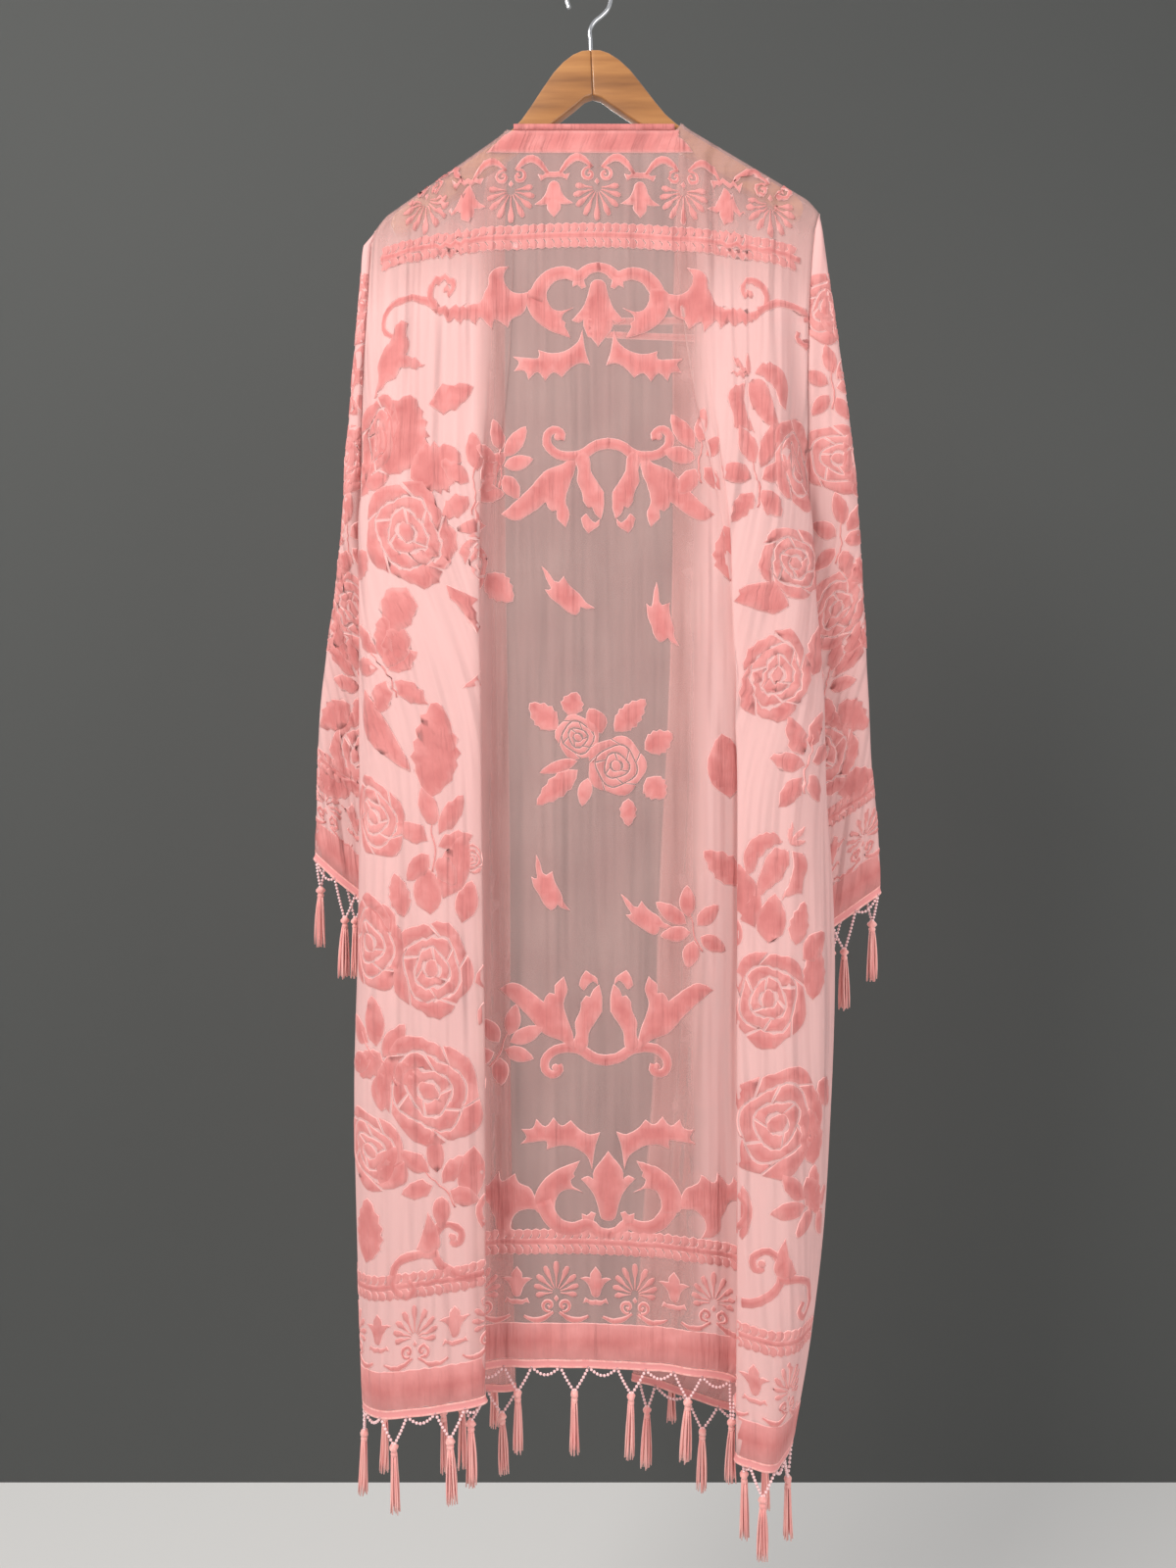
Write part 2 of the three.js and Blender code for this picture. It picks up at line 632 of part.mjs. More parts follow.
function makeHanger() {
  const outline = new THREE.Shape();
  const half = [...barTop, ...barEnd, ...barUnderside];
  half.forEach(({ reach, z }, n) => (n ? outline.lineTo(reach, z) : outline.moveTo(reach, z)));
  [...half].reverse().slice(1, -1).forEach(({ reach, z }) => outline.lineTo(-reach, z));
  outline.closePath();
  const bar = new THREE.ExtrudeGeometry(outline, { depth: barThickness, bevelEnabled: false, steps: 1 });
  bar.translate(0, 0, -barThickness / 2);
  bar.rotateX(Math.PI / 2);

  const bend = hookInnerRadius + hookWire / 2;
  const crown = [-55, -30, 0, 30, 60, 90, 120, 150, 180, 205].map((degrees) => {
    const angle = THREE.MathUtils.degToRad(degrees);
    return new THREE.Vector3(bend * Math.cos(angle), 0, -hookInnerRadius + bend * Math.sin(angle));
  });
  const stem = [-75 + seamGap, -62, -52].map((z) => new THREE.Vector3(0, 0, z));
  const stemToCrown = new THREE.Vector3(5, 0, -44);
  const route = new THREE.CatmullRomCurve3([...stem, stemToCrown, ...crown]);
  const section = new THREE.Shape();
  const wireSides = 8;
  for (let side = 0; side < wireSides; side += 1) {
    const angle = 2 * Math.PI * side / wireSides;
    const corner = [hookWire / 2 * Math.cos(angle), hookWire / 2 * Math.sin(angle)];
    if (side) section.lineTo(...corner);
    else section.moveTo(...corner);
  }
  const hook = new THREE.ExtrudeGeometry(section, { steps: 26, bevelEnabled: false, extrudePath: route });

  const hanger = new THREE.Group();
  hanger.rotation.y = -hangerTilt;
  hanger.add(makeMesh("hanger_bar", weld(bar), "wood"), makeMesh("hanger_hook", weld(hook), "steel"));
  return hanger;
}

const back = makeBack();
const frontLeft = makeFront(leftSide);
const frontRight = makeFront(rightSide);
const lastBackColumn = back.points[0].length - 1;
const sleeveLeft = makeSleeve(leftSide, leftSleeve, back, 0, frontLeft);
const sleeveRight = makeSleeve(rightSide, rightSleeve, back, lastBackColumn, frontRight);
const hemRow = levels.length - 1;
const cuffRow = sleeveLeft.points.length - 1;

const jacket = new THREE.Group();
jacket.add(makeHanger());
const clothPieces = {
  back,
  front_left: frontLeft,
  front_right: frontRight,
  sleeve_left: sleeveLeft,
  sleeve_right: sleeveRight,
};
for (const [name, piece] of Object.entries(clothPieces)) {
  jacket.add(makeMesh(name, clothWall(piece.points, piece.normals, clothThickness), "velvet"));
}
jacket.add(makeMesh("neck_binding", makeBinding(back), "velvet"));
const trims = {
  trim_back_hem: [rowEdge(back, hemRow), tasselPitch, hangFromHem],
  trim_hem_left: [rowEdge(frontLeft, hemRow), tasselPitch, hangFromHem],
  trim_hem_right: [rowEdge(frontRight, hemRow), tasselPitch, hangFromHem],
  trim_edge_left: [columnEdge(frontLeft, 2), edgeTasselPitch, hangFromEdge(-1)],
  trim_edge_right: [columnEdge(frontRight, 2), edgeTasselPitch, hangFromEdge(1)],
  trim_cuff_left: [rowEdge(sleeveLeft, cuffRow), tasselPitch, hangFromHem],
  trim_cuff_right: [rowEdge(sleeveRight, cuffRow), tasselPitch, hangFromHem],
};
for (const [name, [edge, pitch, hang]] of Object.entries(trims)) {
  jacket.add(makeMesh(name, makeTrim(edge, pitch, hang), "trim"));
}

export default jacket;
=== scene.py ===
# long open jacket in burnout velvet with beaded tassel trim, on its wooden hanger, seen from the back
import bpy
import bmesh
import math
import numpy as np
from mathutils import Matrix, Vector, geometry


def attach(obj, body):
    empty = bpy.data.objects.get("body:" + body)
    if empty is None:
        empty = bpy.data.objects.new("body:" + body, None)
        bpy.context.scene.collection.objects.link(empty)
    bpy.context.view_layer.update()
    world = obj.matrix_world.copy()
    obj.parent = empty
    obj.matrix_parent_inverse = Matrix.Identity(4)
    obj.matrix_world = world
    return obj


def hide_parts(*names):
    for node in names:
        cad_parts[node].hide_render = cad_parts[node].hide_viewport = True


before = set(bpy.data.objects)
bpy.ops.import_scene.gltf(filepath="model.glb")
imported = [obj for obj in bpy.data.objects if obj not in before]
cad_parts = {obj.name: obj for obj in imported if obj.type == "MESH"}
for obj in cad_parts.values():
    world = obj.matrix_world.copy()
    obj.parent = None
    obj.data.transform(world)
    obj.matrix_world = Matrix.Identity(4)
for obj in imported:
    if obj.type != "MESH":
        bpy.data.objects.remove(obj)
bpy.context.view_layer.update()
mm = 0.001
bpy.ops.object.select_all(action="DESELECT")

# camera at the photograph's angle, just below the middle of the jacket
camera = {"place": (0.0, -1.176, -0.806), "lens": 27.0, "sensor": 36.0}
cameraData = bpy.data.cameras.new("camera")
cameraData.lens = camera["lens"]
cameraData.sensor_width = camera["sensor"]
cameraData.clip_start = 0.02
cameraObject = bpy.data.objects.new("camera", cameraData)
cameraObject.location = camera["place"]
cameraObject.rotation_euler = (math.radians(90), 0, 0)
bpy.context.scene.collection.objects.link(cameraObject)
bpy.context.scene.camera = cameraObject


# the cut: the same rows and columns as the solids, in mm
cloth = {"thick": 0.8, "seamGap": 0.3, "armholeGap": 0.75, "trimGap": 0.35, "tipReach": 221.0,
         "tipSag": 4.5, "neckReach": 88.0, "neckZ": -157.5, "neckColumn": 10, "centreHem": -1374.0,
         "rowSteps": 8, "columnSteps": 4}
hanger = {"tilt": math.radians(2.2), "thick": 12.5,
          "top": [(0, -75), (9, -75.5), (18, -79), (28, -86), (38, -96), (50, -112), (62, -129),
                  (72, -142), (82, -151.5), (98, -163), (200, -229.3)],
          "end": [(204, -234), (206, -241), (203, -248.5), (196, -251.5)],
          "underside": [(98, -185.5), (48, -152), (18, -130.5), (8, -122.5), (0, -120)],
          "bevel": 2.2, "wire": 4.0, "bend": 20.0}
clearOfBar = hanger["thick"] / 2 + cloth["seamGap"] + 0.6 + 0.35

# drop, seamBack, seamFront, centre, front, wrap, turned
levels = np.array([
    [0, -0.15, 0.15, -8.4, 8.4, 0, 0],
    [0, -4, 4, -8.4, 8.4, 0, 0],
    [0.012, -4, 4, -8.6, 8.8, 0, 1],
    [0.05, -3, 5, -9.5, 11, 0, 1],
    [0.11, 0, 8, -10.5, 15, 0, 1],
    [0.16, 5, 11, -11, 18, 0, 1],
    [0.205, 10.5, 12.6, -11, 20, 0, 1],
    [0.245, 13.35, 13.65, -11, 22, 1, 1],
    [0.31, 13.85, 14.15, -11, 24, 1, 1],
    [0.4, 13.85, 14.15, -11, 26, 1, 1],
    [0.5, 13.85, 14.15, -11.5, 29, 1, 1],
    [0.62, 13.85, 14.15, -12, 31, 1, 1],
    [0.74, 13.85, 14.15, -13, 34, 1, 1],
    [0.87, 13.85, 14.15, -14, 37, 1, 1],
    [1, 13.85, 14.15, -15, 40, 1, 1],
], float)
# outer, flute, fold, open, overlap, edge
leftSide = {
    "sign": -1, "turnBack": 11,
    "rows": np.array([
        [221, -8.4, 96, 0, 0, 88],
        [221, -8.4, 96, 0, 0, 88],
        [216, -9, 96, 0, 0, 83],
        [219, -12, 97, 0, 0, 84],
        [224, -16, 99, 0, 0, 85],
        [227, -19, 101, 0, 0, 85],
        [229, -22, 103, 0.05, 14, 85],
        [230, -25, 105, 0.15, 22, 85],
        [230, -29, 107, 0.4, 30, 85],
        [230, -34, 106, 0.75, 36, 84],
        [230, -39, 104, 1, 38, 82],
        [232, -44, 102, 1, 40, 80],
        [236, -49, 100, 1, 42, 79],
        [233, -54, 99, 1, 43, 77],
        [228, -58, 98, 1, 44, 75],
    ], float),
    "backHem": [-1415, -1413, -1408, -1399, -1392, -1388, -1386, -1382, -1378, -1375],
    "frontHem": [-1415, -1416, -1419, -1423, -1426, -1426, -1427, -1427],
}
rightSide = {
    "sign": 1, "turnBack": 25,
    "rows": np.array([
        [221, -8.4, 96, 0, 0, 88],
        [221, -8.4, 96, 0, 0, 88],
        [226, -9, 102, 0, 0, 92],
        [222, -12, 107, 0, 0, 89],
        [220, -15, 114, 0, 0, 87],
        [221, -18, 120, 0, 0, 86],
        [222, -21, 126, 0.1, 14, 86],
        [224, -24, 132, 0.25, 20, 86],
        [229, -28, 140, 0.5, 26, 86],
        [236, -32, 143, 0.75, 32, 84],
        [242, -37, 144, 1, 36, 80],
        [248, -42, 144, 1, 38, 74],
        [244, -47, 144, 1, 34, 70],
        [233, -52, 143, 1, 26, 58],
        [207, -56, 142, 1, 13, 46],
    ], float),
    "backHem": [-1461, -1460, -1457, -1453, -1450, -1446, -1440, -1426, -1406, -1386],
    "frontHem": [-1461, -1460, -1456, -1440, -1421, -1416, -1418, -1420],
}
backSpans = [1, 2, 2, 1, 2, 2, 2, 2, 2, 3]
frontSpans = [1, 2, 3, 2, 2, 1, 2]
sleeveSpans = [2, 4, 3, 3, 4, 2]
# near, fold, far beside the armhole, then inner, seam, near, fold, far below it
armholeRows = [[-5, 0, 5], [-5, 2, 8], [-2, 6, 13], [4, 12, 20], [9, 18, 27]]
hangingRows = [[229, 34, 25, 33, 46], [208, 45, 34, 42, 58], [176, 51, 39, 48, 66],
               [159, 55, 43, 52, 72], [151, 58, 46, 55, 76], [147, 60, 48, 57, 79]]
leftSleeve = {"firstInner": 232, "cuffOuterZ": -876, "cuffInnerZ": -990,
              "outer": [224, 228, 235, 241, 246, 254, 263, 273, 279, 283, 286]}
rightSleeve = {"firstInner": 226.5, "cuffOuterZ": -911, "cuffInnerZ": -1020,
               "outer": [234, 241, 253, 263, 271, 279, 285, 290, 296, 302, 305]}


def lerp(a, b, t):
    return a + (b - a) * t


def tilted(x, y, z):
    cos, sin = math.cos(hanger["tilt"]), math.sin(hanger["tilt"])
    return np.array([x * cos - z * sin, y, x * sin + z * cos])


def barTopAt(reach):
    table = hanger["top"]
    n = next((n for n, place in enumerate(table) if place[0] > reach), len(table) - 1)
    (r0, z0), (r1, z1) = table[n - 1], table[n]
    return lerp(z0, z1, (reach - r0) / (r1 - r0))


def catmull(points, t):
    # point at t, counted in points, on the curve through rows of numbers
    last = len(points) - 1
    n = min(int(t), last - 1)
    f = t - n
    p1, p2 = points[n], points[n + 1]
    p0 = points[n - 1] if n > 0 else 2 * p1 - p2
    p3 = points[n + 2] if n + 2 <= last else 2 * p2 - p1
    slopeIn, slopeOut = (p2 - p0) / 2, (p3 - p1) / 2
    bend = 2 * p1 - 2 * p2 + slopeIn + slopeOut
    curve = -3 * p1 + 3 * p2 - 2 * slopeIn - slopeOut
    return ((bend * f + curve) * f + slopeIn) * f + p1


def alongSpans(controls, spans, steps):
    controls = np.array(controls, float)
    samples = [controls[0]]
    for span, count in enumerate(spans):
        for step in range(1, count * steps + 1):
            samples.append(catmull(controls, span + step / (count * steps)))
    return np.array(samples)


def rowAt(table, row):
    # the table at a row and between rows, straight over the hanger and smooth below it
    if row <= 2:
        n = min(int(row), 1)
        return lerp(table[n], table[n + 1], row - n)
    return catmull(table, row)


def backControls(side, row):
    _, seamBack, _, centre, _, wrap, _ = rowAt(levels, row)
    outer, flute, fold, opened, overlap, _ = rowAt(side["rows"], row)
    depth = centre - flute
    rounded = outer - lerp(30, 22, wrap)
    nearFold = fold + 16
    places = [
        (outer, seamBack),
        (outer - lerp(12, 2, wrap), seamBack - lerp(3.4, 14, wrap)),
        (rounded, lerp(flute, seamBack, 0.22 * wrap)),
        ((rounded + nearFold) / 2, flute),
        (nearFold, flute),
        (fold, flute + 0.12 * depth),
        (lerp(fold - 8, fold + 0.45 * overlap, opened), flute + 0.36 * depth),
        (lerp(fold - 16, fold + overlap, opened), flute + 0.6 * depth),
        (lerp(fold - 24, fold + 0.45 * overlap, opened), flute + 0.82 * depth),
        (lerp(fold - 32, fold - 8, opened), centre),
    ]
    return [(side["sign"] * reach, y, side["backHem"][n]) for n, (reach, y) in enumerate(places)]


def frontControls(side, row):
    drop, _, seamFront, _, front, wrap, turned = rowAt(levels, row)
    outer, *_, edge = rowAt(side["rows"], row)
    turn = side["turnBack"]
    places = [
        (outer, seamFront),
        (outer - lerp(12, 4, wrap), seamFront + lerp(3.4, 9, wrap)),
        (outer - 30, front),
        ((outer + edge) / 2, front + 3 * drop),
        (edge + 22, front),
        (edge + 4 * (1 - turned), front + 2 * turned),
        (edge + lerp(2, turn * 0.5, turned), front + 7 * turned),
        (edge + turn * turned, front + 9 * turned),
    ]
    return [(side["sign"] * reach, y, side["frontHem"][n]) for n, (reach, y) in enumerate(places)]


def shoulderPoint(x, y):
    reach = abs(x)
    past = min(max((reach - 205) / (cloth["tipReach"] - 205), 0), 1)
    lift = cloth["seamGap"] + 0.6 + (0.1 if reach > cloth["neckReach"] + 1 else 1.0)
    return tilted(x, y, barTopAt(reach) + lift - cloth["tipSag"] * past * past)


def crossingY(x, row, facing):
    past = min(max((abs(x) - 209) / (cloth["tipReach"] - 209), 0), 1)
    turned = facing * lerp(clearOfBar, 4, past)
    return lerp(facing * cloth["seamGap"] / 2, turned, row)


rowList = [0.0, 0.5, 1.0, 1.5] + [2 + n / cloth["rowSteps"] for n in range(12 * cloth["rowSteps"] + 1)]


def dropRows(crossing, lower, hems):
    # the rows that cross the hanger joined to the rows that hang from them
    start = crossing[2][:, 2]
    grid = [crossing[0], crossing[1], crossing[2]]
    for row, samples in zip(rowList[3:], lower):
        drop = rowAt(levels, row)[0]
        points = np.column_stack([samples[:, 0], samples[:, 1], lerp(start, hems, drop)])
        if row < 2:
            share = row - 1
            points[:, :2] = lerp(crossing[2][:, :2], lower[1][:, :2], share)
        grid.append(points)
    return np.array(grid)


def backGrid():
    steps = cloth["columnSteps"]
    spans = backSpans + backSpans[::-1]
    sections = []
    for row in rowList:
        centre = rowAt(levels, row)[3]
        controls = backControls(leftSide, row) + [(0, centre, cloth["centreHem"])]
        controls += backControls(rightSide, row)[::-1]
        sections.append(alongSpans(controls, spans, steps))
    last = len(sections[0]) - 1
    neck = cloth["neckColumn"] * steps
    crossing = []
    for row, samples in zip(rowList[:3], sections[:3]):
        line = []
        for column, (x, y, hem) in enumerate(samples):
            fromEnd = min(column, last - column)
            level = tilted(x, y, cloth["neckZ"])
            neckPoint = np.array([level[0], -8.4, cloth["neckZ"] - 3 * row])
            if fromEnd <= neck:
                point = shoulderPoint(x, crossingY(x, row, -1))
            elif fromEnd < neck + steps * 2:
                corner = shoulderPoint(math.copysign(cloth["neckReach"] - 1.5, x), -clearOfBar - 0.4)
                corner[2] -= 1.5 * row
                away = fromEnd - neck
                outside = shoulderPoint(math.copysign(cloth["neckReach"], x), crossingY(x, row, -1))
                if away <= steps:
                    point = lerp(outside, corner, away / steps)
                else:
                    point = lerp(corner, neckPoint, (away - steps) / steps)
            else:
                point = neckPoint
            line.append(point)
        crossing.append(np.array(line))
    hems = sections[-1][:, 2]
    return dropRows(crossing, sections[3:], hems)


def frontGrid(side):
    sections = [alongSpans(frontControls(side, row), frontSpans, cloth["columnSteps"]) for row in rowList]
    crossing = []
    for row, samples in zip(rowList[:3], sections[:3]):
        crossing.append(np.array([shoulderPoint(x, crossingY(x, row, 1)) for x, y, hem in samples]))
    return dropRows(crossing, sections[3:], sections[-1][:, 2])


def sleeveGrid(side, sleeve, backEdge, frontEdge):
    # rings from the cap to the cuff; the edges are rows of points beside the armhole
    steps = cloth["columnSteps"]
    columns = sum(sleeveSpans) * steps
    coarse = [np.array([lerp(backEdge(1.0), frontEdge(1.0), n / columns) for n in range(columns + 1)])]
    for index, (near, fold, far) in enumerate(armholeRows):
        start, end = backEdge(index + 2.0), frontEdge(index + 2.0)
        inner = abs(start[0])
        outer = sleeve["outer"][index]
        width = outer - inner
        ring = alongSpans([
            (inner, start[1]),
            (inner + 0.3 * width, lerp(start[1], near, 0.55)),
            (inner + 0.8 * width, lerp(near, fold, 0.3)),
            (outer, fold),
            (inner + 0.8 * width, lerp(far, fold, 0.25)),
            (inner + 0.3 * width, lerp(end[1], far, 0.55)),
            (inner, end[1]),
        ], sleeveSpans, steps)
        coarse.append(np.column_stack([side["sign"] * ring[:, 0], ring[:, 1], np.full(len(ring), start[2])]))
    underarmZ = coarse[-1][0][2]
    for index, (inner, seam, near, fold, far) in enumerate(hangingRows):
        share = (index + 1) / len(hangingRows)
        outer = sleeve["outer"][len(armholeRows) + index]
        inner = inner if index else sleeve["firstInner"]
        width = outer - inner
        ring = alongSpans([
            (inner, seam - cloth["seamGap"] / 2),
            (inner + 0.12 * width, near + 2),
            (inner + 0.85 * width, near),
            (outer, fold),
            (inner + 0.85 * width, lerp(far, fold, 0.2)),
            (inner + 0.12 * width, far),
            (inner, seam + cloth["seamGap"] / 2),
        ], sleeveSpans, steps)
        across = (ring[:, 0] - inner) / width
        innerZ = lerp(underarmZ, sleeve["cuffInnerZ"], share)
        outerZ = lerp(underarmZ, sleeve["cuffOuterZ"], share)
        coarse.append(np.column_stack([side["sign"] * ring[:, 0], ring[:, 1], lerp(innerZ, outerZ, across)]))
    coarse = np.array(coarse)
    rows = [n / cloth["rowSteps"] for n in range((len(coarse) - 1) * cloth["rowSteps"] + 1)]
    return np.array([lerp(coarse[0], coarse[1], row) if row <= 1 else catmull(coarse, row) for row in rows])


def gridNormals(grid):
    down = np.gradient(grid, axis=0)
    along = np.gradient(grid, axis=1)
    normals = np.cross(down, along)
    return normals / np.maximum(np.linalg.norm(normals, axis=2, keepdims=True), 1e-9)


print("cut laid out")


# creases pressed in by storage and soft ridges of the hang, in mm: from x, z to x, z, depth, half width
backCreases = [
    (-229, -758, -112, -721, -1.5, 3.5), (-231, -810, -103, -760, -1.3, 3.2),
    (-74, -702, 2, -744, -1.3, 3.0), (-66, -748, -4, -694, -1.1, 2.8),
    (-40, -684, -34, -756, -0.9, 2.8), (-74, -761, -50, -839, -1.2, 3.0),
    (-58, -1170, 136, -1168, -1.3, 3.4), (-96, -640, 40, -652, -0.8, 4.0),
    (60, -430, 132, -520, 1.1, 6.0), (-205, -470, -120, -600, 1.3, 8.0),
    (170, -420, 226, -560, 1.2, 7.0), (-200, -930, -118, -905, -1.0, 3.2),
    (160, -1010, 226, -1060, -1.1, 3.6), (155, -700, 232, -742, -1.2, 3.4),
    (-60, -300, -20, -420, 1.0, 9.0), (70, -330, 52, -470, 1.0, 9.0),
    (-10, -900, 24, -1100, 1.4, 10.0), (-215, -1120, -110, -1180, -0.9, 3.6),
    (-150, -240, -206, -330, 1.2, 8.0), (150, -250, 212, -330, 1.2, 8.0),
    (40, -1180, 120, -1330, 1.3, 9.0), (-80, -1230, -20, -1360, 1.2, 9.0),
]
frontCreases = [
    (110, -330, 200, -420, 1.2, 7.0), (130, -700, 215, -650, -1.1, 3.6), (100, -820, 205, -850, -1.0, 3.4),
    (120, -1080, 210, -1030, 1.1, 6.0), (95, -1180, 190, -1200, -1.1, 3.4), (150, -240, 205, -320, 1.2, 8.0),
]
sleeveCreases = [
    (255, -420, 236, -520, 1.3, 6.0), (262, -560, 190, -640, 1.4, 7.0), (272, -700, 170, -690, -1.0, 3.4),
    (276, -820, 180, -860, 1.2, 6.0), (235, -600, 225, -900, 1.6, 8.0), (200, -700, 195, -930, 1.4, 8.0),
]


def creaseDepth(x, z, creases):
    # how far the cloth stands out at x, z, each crease fading along its length
    depth = np.zeros_like(x)
    for n, (x0, z0, x1, z1, high, wide) in enumerate(creases):
        dx, dz = x1 - x0, z1 - z0
        length = math.hypot(dx, dz)
        along = ((x - x0) * dx + (z - z0) * dz) / length
        wander = 2.2 * np.sin(along / (length * 0.21) + n)
        across = ((x - x0) * dz - (z - z0) * dx) / length + wander
        ends = np.clip(along / (0.3 * length), 0, 1) * np.clip((length - along) / (0.3 * length), 0, 1)
        depth += high * ends * np.exp(-0.5 * (across / wide) ** 2)
    return depth


class Panel:
    # a cloth piece: its middle surface, outward normals and flat coordinates

    def __init__(self, grid, outward, creases, mirror=1, hang=1.6, seed=0.0):
        normals = gridNormals(grid)
        sign = 1 if float((normals * outward(grid)).sum()) > 0 else -1
        normals = normals * sign
        x, z = grid[:, :, 0] * mirror, grid[:, :, 2]
        along = np.linalg.norm(np.diff(grid, axis=1), axis=2)
        flat = np.concatenate([np.zeros((len(grid), 1)), np.cumsum(along, axis=1)], axis=1)
        wave = np.sin(flat / 23 + seed + z / 900) + 0.6 * np.sin(flat / 11.5 + 2 * seed - z / 410)
        wave += 0.9 * np.sin(flat / 7.4 + 3 * seed + z / 330) * np.sin(flat / 41 + z / 210 + seed)
        lowered = np.clip((-z - 330) / 500, 0, 1)
        depth = creaseDepth(x, z, creases) + hang * 0.8 * lowered * wave
        fade = np.clip((np.arange(len(grid)) - 6) / 8, 0, 1)[:, None]
        edge = np.minimum(flat, flat[:, -1:] - flat)
        depth = depth * fade * np.clip(edge / 14, 0, 1)
        self.grid = grid + normals * depth[:, :, None]
        self.normals = gridNormals(self.grid) * sign
        self.flat = flat
        self.z = self.grid[:, :, 2]

    def centreOn(self, column):
        self.flat = self.flat - self.flat[:, column:column + 1]

    def hemAt(self, s):
        return np.interp(s, self.flat[-1], self.z[-1])

    def columnFlat(self, column, z):
        return float(np.interp(-z, -self.z[3:, column], self.flat[3:, column]))

    def flatAt(self, x, z):
        # flat place of the outermost layer at x, z
        middle = self.grid.shape[1] // 2
        row = int(np.argmin(np.abs(self.z[:, middle] - z)))
        best, found = None, 0.0
        xs, ys = self.grid[row, :, 0], self.grid[row, :, 1]
        for n in range(len(xs) - 1):
            if (xs[n] - x) * (xs[n + 1] - x) <= 0 and xs[n] != xs[n + 1]:
                t = (x - xs[n]) / (xs[n + 1] - xs[n])
                y = lerp(ys[n], ys[n + 1], t)
                if best is None or y < best:
                    best, found = y, lerp(self.flat[row, n], self.flat[row, n + 1], t)
        return float(found)

    def place(self, points, lift):
        # flat points (s, z) on the surface, lifted off it by lift mm
        s, z = points[:, 0], points[:, 1]
        rowNumbers = np.arange(len(self.grid), dtype=float)
        columnNumbers = np.arange(self.grid.shape[1], dtype=float)
        middle = self.grid.shape[1] // 2
        rows = np.interp(-z, -self.z[:, middle], rowNumbers)
        # rows and columns settle each other in a few rounds
        for _ in range(4):
            columns = np.empty_like(s)
            nearest = np.rint(rows).astype(int)
            for row in np.unique(nearest):
                mask = nearest == row
                columns[mask] = np.interp(s[mask], self.flat[row], columnNumbers)
            nearest = np.rint(columns).astype(int)
            for column in np.unique(nearest):
                mask = nearest == column
                rows[mask] = np.interp(-z[mask], -self.z[:, column], rowNumbers)
        r0 = np.minimum(rows.astype(int), len(self.grid) - 2)
        c0 = np.minimum(columns.astype(int), self.grid.shape[1] - 2)
        fr, fc = (rows - r0)[:, None], (columns - c0)[:, None]
        result = []
        for field in (self.grid, self.normals):
            upper = lerp(field[r0, c0], field[r0, c0 + 1], fc)
            lower = lerp(field[r0 + 1, c0], field[r0 + 1, c0 + 1], fc)
            result.append(lerp(upper, lower, fr))
        return result[0] + result[1] * np.asarray(lift).reshape(-1, 1)


def addMesh(name, points, faces, uv=None, shade=None):
    mesh = bpy.data.meshes.new(name)
    mesh.from_pydata((np.asarray(points) * mm).tolist(), [], faces)
    if uv is not None:
        layer = mesh.uv_layers.new(name="UVMap")
        index = np.empty(len(mesh.loops), dtype=np.int32)
        mesh.loops.foreach_get("vertex_index", index)
        layer.data.foreach_set("uv", (np.asarray(uv)[index] * mm).astype(np.float32).ravel())
    if shade is not None:
        attribute = mesh.attributes.new("shade", "FLOAT", "POINT")
        attribute.data.foreach_set("value", np.asarray(shade, dtype=np.float32))
    mesh.polygons.foreach_set("use_smooth", [True] * len(mesh.polygons))
    mesh.update()
    piece = bpy.data.objects.new(name, mesh)
    bpy.context.scene.collection.objects.link(piece)
    return piece


def ringFaces(rings, sides):
    # quads round a row of rings and a cap at each end
    faces = []
    for n in range(rings - 1):
        for k in range(sides):
            a, b = n * sides + k, n * sides + (k + 1) % sides
            faces.append((a, b, b + sides, a + sides))
    faces.append(tuple(reversed(range(sides))))
    faces.append(tuple((rings - 1) * sides + k for k in range(sides)))
    return faces


def turnOutwards(piece):
    # normals of every closed shell outwards
    work = bmesh.new()
    work.from_mesh(piece.data)
    bmesh.ops.recalc_face_normals(work, faces=work.faces)
    work.to_mesh(piece.data)
    work.free()


def shellOf(name, panel, cover, thick=cloth["thick"]):
    # a closed thin shell, cover from 0 to 1 says how densely it is woven to the eye and how much brighter it
    # is painted, the brightness being painted light
    rows, columns = panel.flat.shape
    outer = (panel.grid + panel.normals * thick / 2).reshape(-1, 3)
    inner = (panel.grid - panel.normals * thick / 2).reshape(-1, 3)
    total = rows * columns
    faces = []
    for i in range(rows - 1):
        for j in range(columns - 1):
            a = i * columns + j
            quad = (a, a + columns, a + columns + 1, a + 1)
            faces.append(quad)
            faces.append(tuple(total + n for n in reversed(quad)))
    rim = list(range(columns)) + [i * columns + columns - 1 for i in range(1, rows)]
    rim += [(rows - 1) * columns + j for j in range(columns - 2, -1, -1)]
    rim += [i * columns for i in range(rows - 2, 0, -1)]
    for a, b in zip(rim, rim[1:] + rim[:1]):
        faces.append((a, b, total + b, total + a))
    flat = np.stack([panel.flat, panel.z], axis=2).reshape(-1, 2)
    shade = np.tile(cover.ravel(), 2)
    piece = addMesh(name, np.vstack([outer, inner]), faces, uv=np.vstack([flat, flat]), shade=shade)
    turnOutwards(piece)
    return piece


def awayFromBack(grid):
    return np.array([0.0, -1.0, 0.0]) + 0 * grid


def awayFromFront(grid):
    return np.array([0.0, 1.0, 0.0]) + 0 * grid


def awayFromMiddle(grid):
    return grid - grid.mean(axis=1, keepdims=True)


backSurface = backGrid()
frontLeftSurface, frontRightSurface = frontGrid(leftSide), frontGrid(rightSide)


def edgePoint(grid, column, inward):
    # the armhole edge of a body panel at a row of the table, just outside the cloth
    def at(row):
        n = int(round(row * 2)) if row <= 2 else 4 + int(round((row - 2) * cloth["rowSteps"]))
        edge, inner = grid[n][column], grid[n][column + inward]
        out = (edge - inner) * np.array([1, 1, 0])
        return edge + cloth["armholeGap"] * out / np.linalg.norm(out)
    return at


